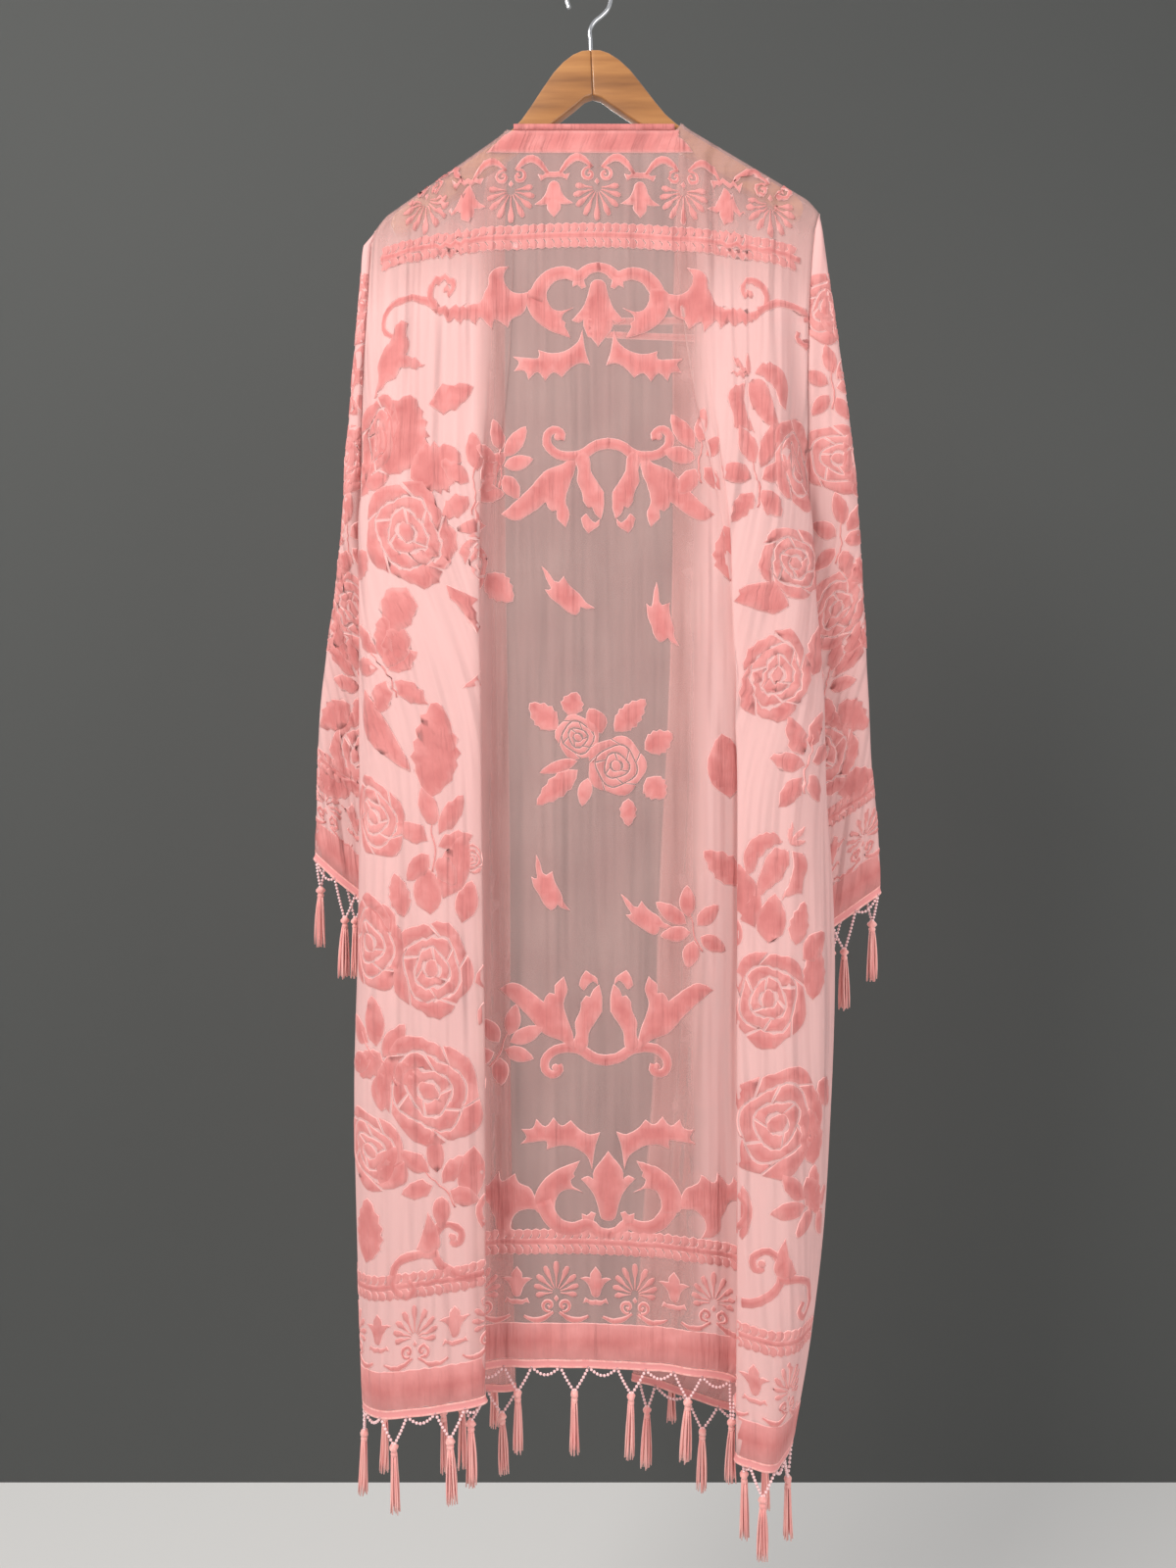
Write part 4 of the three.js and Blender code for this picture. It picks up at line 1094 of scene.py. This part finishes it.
def velvetOfSleeve(name):
    panel = panels[name]
    maker = PileMaker(panel)
    width = float(panel.flat[-1][-1])
    columns = panel.grid.shape[1]
    for share in (0.26, 0.76):
        for n, z in enumerate(range(-330, -790, -74)):
            size = 0.8 + 0.05 * n
            s = panel.columnFlat(int(columns * share), z)
            motif = rose(37, 40 * n, 1.2) if n % 2 == 0 else fiveLeaves()
            maker.motif(moved(motif, size=size), s, z)
            leaf = moved(leafTo((0, -20), (6, 30), 32, 5), size=size, turn=50 * n)
            maker.motif(leaf, s + 44 * size, z - 30)
    maker.motif(borderRow(3, width - 3, 74), 0, 0, hemWarp(panel))
    return maker.make(name + "_velvet")


print("motifs ready")


# materials
def newMaterial(name, colour, rough):
    material = bpy.data.materials.new(name)
    material.use_nodes = True
    nodes = material.node_tree.nodes
    shader = nodes["Principled BSDF"]
    shader.inputs["Base Color"].default_value = colour + (1,)
    shader.inputs["Roughness"].default_value = rough
    return material, nodes, material.node_tree.links, shader


def noise(nodes, links, space, scale, detail=3.0, stretch=(1, 1, 1)):
    coordinates = nodes.new("ShaderNodeTexCoord")
    mapping = nodes.new("ShaderNodeMapping")
    mapping.inputs["Scale"].default_value = stretch
    texture = nodes.new("ShaderNodeTexNoise")
    texture.inputs["Scale"].default_value = scale
    texture.inputs["Detail"].default_value = detail
    links.new(coordinates.outputs[space], mapping.inputs["Vector"])
    links.new(mapping.outputs["Vector"], texture.inputs["Vector"])
    return texture.outputs["Fac"]


def ramp(nodes, links, source, stops):
    node = nodes.new("ShaderNodeValToRGB")
    elements = node.color_ramp.elements
    while len(elements) < len(stops):
        elements.new(0.5)
    for element, (place, colour) in zip(elements, stops):
        element.position = place
        element.color = colour + (1,)
    links.new(source, node.inputs["Fac"])
    return node.outputs["Color"]


def bump(nodes, links, shader, source, distance, strength=0.6):
    node = nodes.new("ShaderNodeBump")
    node.inputs["Distance"].default_value = distance
    node.inputs["Strength"].default_value = strength
    links.new(source, node.inputs["Height"])
    links.new(node.outputs["Normal"], shader.inputs["Normal"])


def mixByShade(nodes, links, shader, colour, other):
    # the mesh's shade attribute, 0 to 1, leads from one colour to the other; on the pile it paints the pale
    # highlight of the cut edges, on the cloth the painted brightness of the dense sides
    shade = nodes.new("ShaderNodeAttribute")
    shade.attribute_name = "shade"
    mix = nodes.new("ShaderNodeMix")
    mix.data_type = "RGBA"
    mix.inputs["B"].default_value = other + (1,)
    links.new(shade.outputs["Fac"], mix.inputs["Factor"])
    links.new(colour, mix.inputs["A"])
    links.new(mix.outputs["Result"], shader.inputs["Base Color"])
    return shade.outputs["Fac"]


def scaled(nodes, links, source, factor, socket, plus=None):
    node = nodes.new("ShaderNodeMath")
    node.operation = "MULTIPLY_ADD"
    node.inputs[1].default_value = factor
    node.inputs[2].default_value = 0
    links.new(source, node.inputs[0])
    if plus is not None:
        links.new(plus, node.inputs[2])
    links.new(node.outputs["Value"], socket)


def sheerMaterial():
    material, nodes, links, shader = newMaterial("sheer_ground", (0.76, 0.46, 0.43), 0.8)
    shader.inputs["Sheen Weight"].default_value = 0.25
    shader.inputs["Sheen Tint"].default_value = (1.0, 0.72, 0.70, 1)
    shader.inputs["Specular IOR Level"].default_value = 0.25
    cloudy = noise(nodes, links, "UV", 14.0, 4.0)
    colour = ramp(nodes, links, cloudy, [(0.3, (0.72, 0.42, 0.39)), (0.7, (0.80, 0.50, 0.46))])
    # painted light: as the shade attribute rises on the dense sides and sleeves, the ground is painted paler
    # and brighter, for light gathered in stacked layers
    shade = mixByShade(nodes, links, shader, colour, (0.93, 0.58, 0.555))
    # the thin weave gathers into denser upright streaks
    streaks = noise(nodes, links, "UV", 70.0, 2.0, (1, 0.04, 1))
    cover = nodes.new("ShaderNodeMapRange")
    cover.inputs["From Min"].default_value = 0.3
    cover.inputs["From Max"].default_value = 0.7
    cover.inputs["To Min"].default_value = 0.23
    cover.inputs["To Max"].default_value = 0.30
    links.new(streaks, cover.inputs["Value"])
    scaled(nodes, links, shade, 0.32, shader.inputs["Alpha"], cover.outputs["Result"])
    pleats = noise(nodes, links, "UV", 34.0, 2.0, (1, 0.07, 1))
    bump(nodes, links, shader, pleats, 0.02, 0.9)
    return material


def velvetMaterial():
    material, nodes, links, shader = newMaterial("velvet_pile", (0.78, 0.33, 0.35), 0.85)
    shader.inputs["Sheen Weight"].default_value = 0.35
    shader.inputs["Sheen Roughness"].default_value = 0.35
    shader.inputs["Sheen Tint"].default_value = (1.0, 0.6, 0.58, 1)
    shader.inputs["Specular IOR Level"].default_value = 0.2
    crushed = noise(nodes, links, "UV", 38.0, 5.0)
    body = ramp(nodes, links, crushed, [(0.25, (0.60, 0.175, 0.165)), (0.55, (0.72, 0.245, 0.23)),
                                        (0.8, (0.84, 0.34, 0.32))])
    # painted highlight: where the shade attribute rises along the cut edges, the pile is painted pale pink
    rim = mixByShade(nodes, links, shader, body, (1.0, 0.66, 0.62))
    pleats = noise(nodes, links, "UV", 34.0, 6.0, (1, 0.07, 1))
    bump(nodes, links, shader, pleats, 0.018, 0.9)
    # painted highlight: the cut edge of the pile glows with emission, in place of velvet's sheen at grazing
    # angles
    scaled(nodes, links, rim, 0.34, shader.inputs["Emission Strength"])
    shader.inputs["Emission Color"].default_value = (1.0, 0.55, 0.52, 1)
    shader.inputs["Alpha"].default_value = 0.78
    return material


def backingMaterial():
    # the thin pale underside of the pile, which lets some light through; its pale colour and faint glow are
    # painted light, standing in for light scattered through the pile
    material, _, _, shader = newMaterial("velvet_backing", (1.0, 0.60, 0.58), 0.8)
    shader.inputs["Alpha"].default_value = 0.5
    shader.inputs["Emission Color"].default_value = (1.0, 0.50, 0.48, 1)
    # painted light: the underside glows faintly
    shader.inputs["Emission Strength"].default_value = 0.1
    return material


def threadMaterial():
    material, nodes, links, shader = newMaterial("tassel_thread", (0.80, 0.36, 0.31), 0.55)
    shader.inputs["Sheen Weight"].default_value = 0.6
    shader.inputs["Sheen Tint"].default_value = (1.0, 0.8, 0.74, 1)
    strands = noise(nodes, links, "Object", 260.0, 2.0, (1, 1, 0.06))
    colour = ramp(nodes, links, strands, [(0.3, (0.82, 0.31, 0.29)), (0.7, (0.96, 0.50, 0.45))])
    links.new(colour, shader.inputs["Base Color"])
    bump(nodes, links, shader, strands, 0.0005, 0.5)
    return material


def tapeMaterial():
    material, nodes, links, shader = newMaterial("header_tape", (0.80, 0.30, 0.29), 0.75)
    ribs = noise(nodes, links, "Object", 700.0, 1.0)
    bump(nodes, links, shader, ribs, 0.0004, 0.5)
    return material


def beadMaterial():
    material, _, _, shader = newMaterial("seed_bead", (0.93, 0.60, 0.60), 0.18)
    shader.inputs["Coat Weight"].default_value = 0.5
    return material


def woodMaterial():
    material, nodes, links, shader = newMaterial("hanger_wood", (0.50, 0.25, 0.10), 0.38)
    shader.inputs["Coat Weight"].default_value = 0.35
    grain = noise(nodes, links, "Object", 90.0, 6.0, (0.09, 1, 1))
    colour = ramp(nodes, links, grain, [(0.25, (0.22, 0.085, 0.026)), (0.5, (0.36, 0.15, 0.045)),
                                        (0.75, (0.48, 0.22, 0.07))])
    links.new(colour, shader.inputs["Base Color"])
    bump(nodes, links, shader, grain, 0.0004, 0.25)
    return material


def steelMaterial():
    material, _, _, shader = newMaterial("hook_steel", (0.62, 0.62, 0.63), 0.22)
    shader.inputs["Metallic"].default_value = 1.0
    return material


sheer, velvet, backing = sheerMaterial(), velvetMaterial(), backingMaterial()
thread, tape, beadGlass = threadMaterial(), tapeMaterial(), beadMaterial()
wood, steel = woodMaterial(), steelMaterial()
print("materials made")


# pieces of cloth with their velvet; the gathered sides of the back and the sleeves are made denser than its
# flat middle and painted brighter, painted light for light gathered in their stacked layers; in mm from the
# middle and below the hook
denseAndPaintedLight = {"middle": 4, "side": 92, "sideFade": 26, "below": 225, "belowFade": 110,
         "front": 0.2, "sleeve": 1.0}


def coverAndPaintedLightOf(name, panel):
    if name != "back":
        return np.full(panel.z.shape, denseAndPaintedLight[name.split("_")[0]])
    out = np.abs(panel.grid[:, :, 0] - denseAndPaintedLight["middle"]) - denseAndPaintedLight["side"]
    down = -panel.z - denseAndPaintedLight["below"]
    return np.clip(out / denseAndPaintedLight["sideFade"], 0, 1) * np.clip(down / denseAndPaintedLight["belowFade"], 0, 1)


def addCloth():
    pieces, pieceVelvet = {}, {}
    for name, panel in panels.items():
        piece = shellOf(name + "_cloth", panel, coverAndPaintedLightOf(name, panel))
        piece.data.materials.append(sheer)
        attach(piece, "root")
        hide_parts(name)
        pieces[name] = piece
    makers = {"back": velvetOfBack, "front": velvetOfFront, "sleeve": velvetOfSleeve}
    for name in panels:
        piece = makers[name.split("_")[0]](name)
        piece.data.materials.append(velvet)
        piece.data.materials.append(backing)
        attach(piece, "root")
        pieceVelvet[name] = piece
    return pieces, pieceVelvet


clothPieces, velvetPieces = addCloth()
print("cloth made")


# neck binding, a folded velvet strip that stands on the back neck edge
binding = {"thick": 2.0, "back": 0.2,
           "section": [(-1, 0.35), (-1, 5.4), (-0.6, 6.4), (0, 6.85), (0.6, 6.4), (1, 5.4), (1, 0.35)]}


def addBinding():
    steps = cloth["columnSteps"]
    neck = cloth["neckColumn"] * steps
    first, final = neck + 2 * steps, last - neck - 2 * steps
    edge = backSurface[0][first:final + 1]
    points, flat = [], []
    for point in edge:
        for y, rise in binding["section"]:
            points.append(point + np.array([0, y * binding["thick"] / 2 - binding["back"], rise]))
            flat.append((point[0], rise * 2))
    faces = ringFaces(len(edge), len(binding["section"]))
    piece = addMesh("neck_binding_cloth", points, faces, uv=flat, shade=np.zeros(len(points)))
    turnOutwards(piece)
    piece.data.materials.append(velvet)
    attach(piece, "root")
    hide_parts("neck_binding")
    return piece


bindingPiece = addBinding()
print("neck binding made")


# trim: header ribbon, bead legs and scallops, knotted tassels
trim = {"gap": cloth["trimGap"], "pitch": 54.0, "edgePitch": 56.0, "header": 8.0, "root": 0.8,
        "drop": 21.0, "skirt": 53.0, "strands": 16, "lean": 0.03, "bead": 1.7, "beadStep": 3.4,
        "leg": 0.35, "legBeads": 8, "swag": 0.3, "swagSag": 8.0, "edgeSwag": (7.0, 2.0), "swagSteps": 9}


class MeshBin:
    def __init__(self):
        self.points, self.faces, self.kinds, self.count = [], [], [], 0

    def add(self, points, faces, kinds=None):
        self.points.append(np.asarray(points, float))
        self.faces += [tuple(self.count + n for n in face) for face in faces]
        self.kinds += kinds or [0] * len(faces)
        self.count += len(points)

    def make(self, name, *materials):
        piece = addMesh(name, np.vstack(self.points), self.faces)
        for material in materials:
            piece.data.materials.append(material)
        piece.data.polygons.foreach_set("material_index", self.kinds)
        return piece


def tube(path, radii, sides=4, turn=0.0):
    path = np.asarray(path, float)
    way = np.gradient(path, axis=0)
    way /= np.linalg.norm(way, axis=1, keepdims=True)
    guide = np.where(np.abs(way[:, 2:3]) > 0.8, np.array([[1.0, 0, 0]]), np.array([[0, 0, 1.0]]))
    across = np.cross(way, guide)
    across /= np.linalg.norm(across, axis=1, keepdims=True)
    other = np.cross(way, across)
    points = []
    for n, centre in enumerate(path):
        for side in range(sides):
            angle = turn + 2 * math.pi * side / sides
            points.append(centre + radii[n] * (across[n] * math.cos(angle) + other[n] * math.sin(angle)))
    return points, ringFaces(len(path), sides)


def tasselMesh(kind):
    # a knotted head with loose threads, hanging down from the origin
    rng = np.random.default_rng(kind + 3)
    group = MeshBin()
    profile = [(0, 0.5), (-1.2, 1.5), (-2.6, 3.3), (-4.4, 4.4), (-6.2, 4.5), (-7.8, 3.6), (-8.8, 2.6),
               (-9.6, 3.4), (-11.2, 3.7), (-12.4, 3.1), (-13.6, 2.6)]
    sides = 12
    points = []
    for n, (z, radius) in enumerate(profile):
        for side in range(sides):
            angle = 2 * math.pi * side / sides
            knot = 1 + (0.16 * math.sin(2 * angle + 0.75 * z + kind) if 1 < n < 7 else 0)
            points.append((radius * knot * math.cos(angle), radius * 0.9 * knot * math.sin(angle), z))
    group.add(points, ringFaces(len(profile), sides))
    for n in range(trim["strands"]):
        angle = 2.4 * n + rng.uniform(-0.3, 0.3)
        inner = 0.6 + 2.0 * math.sqrt((n + 0.5) / trim["strands"])
        spread = inner * rng.uniform(1.75, 2.35)
        long = trim["skirt"] * rng.uniform(0.93, 1.03)
        sway = rng.uniform(-1.0, 1.0, 2)
        path = []
        for t in np.linspace(0, 1, 6):
            reach = lerp(inner, spread, t ** 0.8)
            bend = math.sin(math.pi * t) * sway
            path.append((reach * math.cos(angle) + bend[0], reach * math.sin(angle) + bend[1],
                         -12.0 - long * t))
        group.add(*tube(path, [0.85, 0.95, 1.0, 1.0, 0.95, 0.6], 4, angle))
    return np.vstack(group.points), group.faces


def beadMesh():
    bpy.ops.mesh.primitive_ico_sphere_add(subdivisions=1, radius=trim["bead"])
    ball = bpy.context.active_object
    points = np.array([tuple(v.co) for v in ball.data.vertices])
    faces = [tuple(polygon.vertices) for polygon in ball.data.polygons]
    bpy.data.objects.remove(ball, do_unlink=True)
    return points, faces


tassels = [tasselMesh(kind) for kind in range(3)]
beadPoints, beadFaces = beadMesh()


def evenPoints(path, steps):
    lengths = np.concatenate([[0], np.cumsum(np.linalg.norm(np.diff(path, axis=0), axis=1))])
    targets = np.linspace(0, lengths[-1], steps + 1)
    return np.column_stack([np.interp(targets, lengths, path[:, axis]) for axis in range(3)])


def edgeOf(line, inner, normals):
    # for each point of a cloth edge, the way out of the cloth, square to the edge
    along = np.gradient(line, axis=0)
    along /= np.linalg.norm(along, axis=1, keepdims=True)
    out = line - inner
    out -= along * np.sum(out * along, axis=1, keepdims=True)
    out /= np.linalg.norm(out, axis=1, keepdims=True)
    return line, out, normals


def rowEdge(name):
    panel = panels[name]
    return edgeOf(panel.grid[-1], panel.grid[-2], panel.normals[-1])


def columnEdge(name):
    panel = panels[name]
    return edgeOf(panel.grid[4:, -1], panel.grid[4:, -2], panel.normals[4:, -1])


def hangFromHem(left, right, n):
    middle = (left + right) / 2
    middle[2] = min(left[2], right[2]) - trim["drop"]
    return middle


def hangFromEdge(sign):
    # clear of each other, nearer and farther in turn
    def hang(upper, lower, n):
        middle = (upper + lower) / 2
        away, behind = (7, 13) if n % 2 else (6, 2)
        return np.array([middle[0] + sign * away, middle[1] + behind, lower[2] - 6])
    return hang


def beadLine(group, path):
    length = float(np.linalg.norm(np.diff(path, axis=0), axis=1).sum())
    for place in evenPoints(path, max(int(length / trim["beadStep"]), 2)):
        group.add(beadPoints + place, beadFaces)


def addTrim(node, edge, pitch, hang, sideways=None):
    line, out, normals = edge
    rng = np.random.default_rng(len(node))
    ribbon, beads = MeshBin(), MeshBin()
    # header tape with a corded border on each side
    section = [(trim["gap"], 0.45), (1.0, 0.75), (1.8, 0.45), (6.4, 0.45), (7.4, 0.8), (8.35, 0.5)]
    ring = [(away, side * half) for side, row in ((1, section), (-1, section[::-1])) for away, half in row]
    points = [line[n] + out[n] * away + normals[n] * half for n in range(len(line)) for away, half in ring]
    taped = [1 if k in (2, 8) else 0 for k in range(len(ring))]
    ribbon.add(points, ringFaces(len(line), len(ring)), taped * (len(line) - 1) + [0, 0])
    border = line + out * (trim["gap"] + trim["header"] - trim["root"])
    length = float(np.linalg.norm(np.diff(border, axis=0), axis=1).sum())
    count = max(1, int(length / pitch))
    places = evenPoints(border, 4 * count)
    for n in range(count):
        legs = [places[4 * n + 1], places[4 * n + 3]]
        top = hang(legs[0], legs[1], n)
        for root in legs:
            side = root - top
            side[2] = 0
            foot = top + 1.2 * side / np.linalg.norm(side) + np.array([0, 0, -1.5])
            sag = (root + foot) / 2 + np.array([0, 0, -1.2])
            path = np.array([root, sag, foot])
            ribbon.add(*tube(path, [trim["leg"]] * 3, 3))
            beadLine(beads, evenPoints(path, trim["legBeads"]))
        body, bodyFaces = tassels[n % 3]
        angle = rng.uniform(0, 2 * math.pi)
        cos, sin = math.cos(angle), math.sin(angle)
        spun = body @ np.array([[cos, sin, 0], [-sin, cos, 0], [0, 0, 1]])
        spun[:, :2] += np.outer(spun[:, 2], rng.uniform(-trim["lean"], trim["lean"], 2))
        ribbon.add(spun + top, bodyFaces)
        if n + 1 < count:
            start, end = places[4 * n + 3], places[4 * n + 5]
            t = np.linspace(0, 1, trim["swagSteps"])
            swag = lerp(start, end, t[:, None])
            if sideways is None:
                swag[:, 2] -= trim["swagSag"] * np.sin(np.pi * t)
            else:
                swag[:, 0] += sideways * trim["edgeSwag"][0] * np.sin(np.pi * t)
                swag[:, 2] -= trim["edgeSwag"][1] * np.sin(np.pi * t)
            ribbon.add(*tube(swag, [trim["swag"]] * len(t), 3))
            beadLine(beads, swag)
    cord = ribbon.make(node + "_cord", thread, tape)
    turnOutwards(cord)
    glass = beads.make(node + "_beads", beadGlass)
    for piece in (cord, glass):
        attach(piece, "root")
    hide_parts(node)
    return [cord, glass]


trimPieces = {
    "back": addTrim("trim_back_hem", rowEdge("back"), trim["pitch"], hangFromHem),
    "front_left": addTrim("trim_hem_left", rowEdge("front_left"), trim["pitch"], hangFromHem)
    + addTrim("trim_edge_left", columnEdge("front_left"), trim["edgePitch"], hangFromEdge(-1), 1),
    "front_right": addTrim("trim_hem_right", rowEdge("front_right"), trim["pitch"], hangFromHem)
    + addTrim("trim_edge_right", columnEdge("front_right"), trim["edgePitch"], hangFromEdge(1), -1),
    "sleeve_left": addTrim("trim_cuff_left", rowEdge("sleeve_left"), trim["pitch"], hangFromHem),
    "sleeve_right": addTrim("trim_cuff_right", rowEdge("sleeve_right"), trim["pitch"], hangFromHem),
}
print("trim made")


# wooden bar in two halves, and the wire hook
def finishCurve(piece):
    bpy.ops.object.select_all(action="DESELECT")
    bpy.context.view_layer.objects.active = piece
    piece.select_set(True)
    bpy.ops.object.convert(target="MESH")
    bpy.ops.object.mode_set(mode="EDIT")
    bpy.ops.mesh.select_all(action="SELECT")
    bpy.ops.mesh.remove_doubles(threshold=0.00002)
    bpy.ops.mesh.normals_make_consistent(inside=False)
    bpy.ops.object.mode_set(mode="OBJECT")
    bpy.ops.object.shade_smooth_by_angle(angle=math.radians(40))
    bpy.ops.object.select_all(action="DESELECT")


def curveObject(name, dimensions):
    curve = bpy.data.curves.new(name, "CURVE")
    curve.dimensions = dimensions
    piece = bpy.data.objects.new(name, curve)
    bpy.context.scene.collection.objects.link(piece)
    return piece, curve


def addBar():
    outline = hanger["top"] + hanger["end"] + hanger["underside"]
    piece, curve = curveObject("hanger_bar_wood", "2D")
    curve.fill_mode = "BOTH"
    bevel = hanger["bevel"]
    curve.extrude = (hanger["thick"] / 2 - bevel) * mm
    curve.bevel_depth = bevel * mm
    curve.bevel_resolution = 3
    curve.offset = -bevel * mm
    for sign in (1, -1):
        half = [(max(reach, 0.1) * sign, z) for reach, z in outline]
        spline = curve.splines.new("POLY")
        spline.points.add(len(half) - 1)
        for point, (x, z) in zip(spline.points, half):
            place = tilted(x, 0, z)
            point.co = (place[0] * mm, place[2] * mm, 0, 1)
        spline.use_cyclic_u = True
    piece.rotation_euler = (math.radians(90), 0, 0)
    finishCurve(piece)
    piece.select_set(True)
    bpy.ops.object.transform_apply(location=True, rotation=True, scale=True)
    bpy.ops.object.select_all(action="DESELECT")
    piece.data.materials.append(wood)
    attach(piece, "root")
    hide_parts("hanger_bar")
    return piece


def addHook():
    bend = hanger["bend"] + hanger["wire"] / 2
    route = [(0, -78), (0, -62), (0, -52), (5, -44)]
    for degrees in (-55, -30, 0, 30, 60, 90, 120, 150, 180, 205):
        angle = math.radians(degrees)
        route.append((bend * math.cos(angle), -hanger["bend"] + bend * math.sin(angle)))
    route = np.array(route, float)
    path = np.array([catmull(route, t) for t in np.linspace(0, len(route) - 1, 80)])
    piece, curve = curveObject("hanger_hook_wire", "3D")
    curve.bevel_depth = hanger["wire"] / 2 * mm
    curve.bevel_resolution = 4
    curve.use_fill_caps = True
    spline = curve.splines.new("POLY")
    spline.points.add(len(path) - 1)
    for point, (x, z) in zip(spline.points, path):
        point.co = tuple(tilted(x, 0, z) * mm) + (1,)
    finishCurve(piece)
    piece.data.materials.append(steel)
    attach(piece, "root")
    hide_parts("hanger_hook")


barPiece = addBar()
addHook()
print("hanger made")


# the area of each piece's cut along its rows and columns, and the pieces that go with it; neither is used
# further
def clothArea(panel):
    corner, right = panel.grid[:-1, :-1], panel.grid[:-1, 1:]
    under, opposite = panel.grid[1:, :-1], panel.grid[1:, 1:]
    square = np.linalg.norm(np.cross(under - corner, right - corner), axis=2)
    square += np.linalg.norm(np.cross(under - opposite, right - opposite), axis=2)
    return float(square.sum()) / 2 * mm * mm


for name, piece in clothPieces.items():
    panel = panels[name]
    area = round(clothArea(panel), 3)
    withPieces = [velvetPieces[name]] + trimPieces[name]
    if name == "back":
        withPieces.append(bindingPiece)


# floor, backdrop and lights
def addPlane(name, size, place, turn, colour):
    bpy.ops.mesh.primitive_plane_add(size=1, location=place, rotation=turn)
    plane = bpy.context.active_object
    plane.name = name
    plane.scale = (size[0], size[1], 1)
    bpy.ops.object.transform_apply(location=True, rotation=True, scale=True)
    plane.data.materials.append(newMaterial(name, colour, 0.9)[0])
    bpy.ops.object.select_all(action="DESELECT")
    return plane


addPlane("floor", (8, 8), (0, 0, -1.95), (0, 0, 0), (0.56, 0.55, 0.53))
backdrop = addPlane("backdrop", (8, 5), (0, 0.75, 0.55), (math.radians(90), 0, 0), (0.075, 0.077, 0.074))


def seenFromFront(plane):
    # only a camera in front of it sees it, so that the other side of the object stays in view
    nodes, links = plane.data.materials[0].node_tree.nodes, plane.data.materials[0].node_tree.links
    ray, side = nodes.new("ShaderNodeLightPath"), nodes.new("ShaderNodeNewGeometry")
    seen, mix = nodes.new("ShaderNodeMath"), nodes.new("ShaderNodeMixShader")
    seen.operation = "GREATER_THAN"
    links.new(ray.outputs["Is Camera Ray"], seen.inputs[0])
    links.new(side.outputs["Backfacing"], seen.inputs[1])
    links.new(seen.outputs["Value"], mix.inputs["Fac"])
    links.new(nodes.new("ShaderNodeBsdfTransparent").outputs["BSDF"], mix.inputs[1])
    links.new(nodes["Principled BSDF"].outputs["BSDF"], mix.inputs[2])
    links.new(mix.outputs["Shader"], nodes["Material Output"].inputs["Surface"])


seenFromFront(backdrop)


def addLight(name, place, aim, size, energy, colour):
    light = bpy.data.lights.new(name, "AREA")
    light.size = size
    light.energy = energy
    light.color = colour
    lamp = bpy.data.objects.new(name, light)
    lamp.location = place
    way = Vector(aim) - Vector(place)
    lamp.rotation_euler = way.to_track_quat("-Z", "Y").to_euler()
    bpy.context.scene.collection.objects.link(lamp)


addLight("window", (-1.5, -1.6, 0.7), (0, 0, -0.6), 1.2, 66, (1.0, 0.98, 0.95))
addLight("fill", (1.6, -1.5, -0.6), (0, 0, -0.8), 1.6, 20, (1.0, 0.97, 0.95))
addLight("far side", (-1.0, 2.6, 0.6), (0, 0, -0.7), 1.6, 36, (1.0, 0.98, 0.96))
world = bpy.data.worlds.new("studio")
world.use_nodes = True
world.node_tree.nodes["Background"].inputs["Color"].default_value = (0.80, 0.82, 0.85, 1)
world.node_tree.nodes["Background"].inputs["Strength"].default_value = 0.62
bpy.context.scene.world = world
bpy.context.scene.view_settings.view_transform = "Standard"
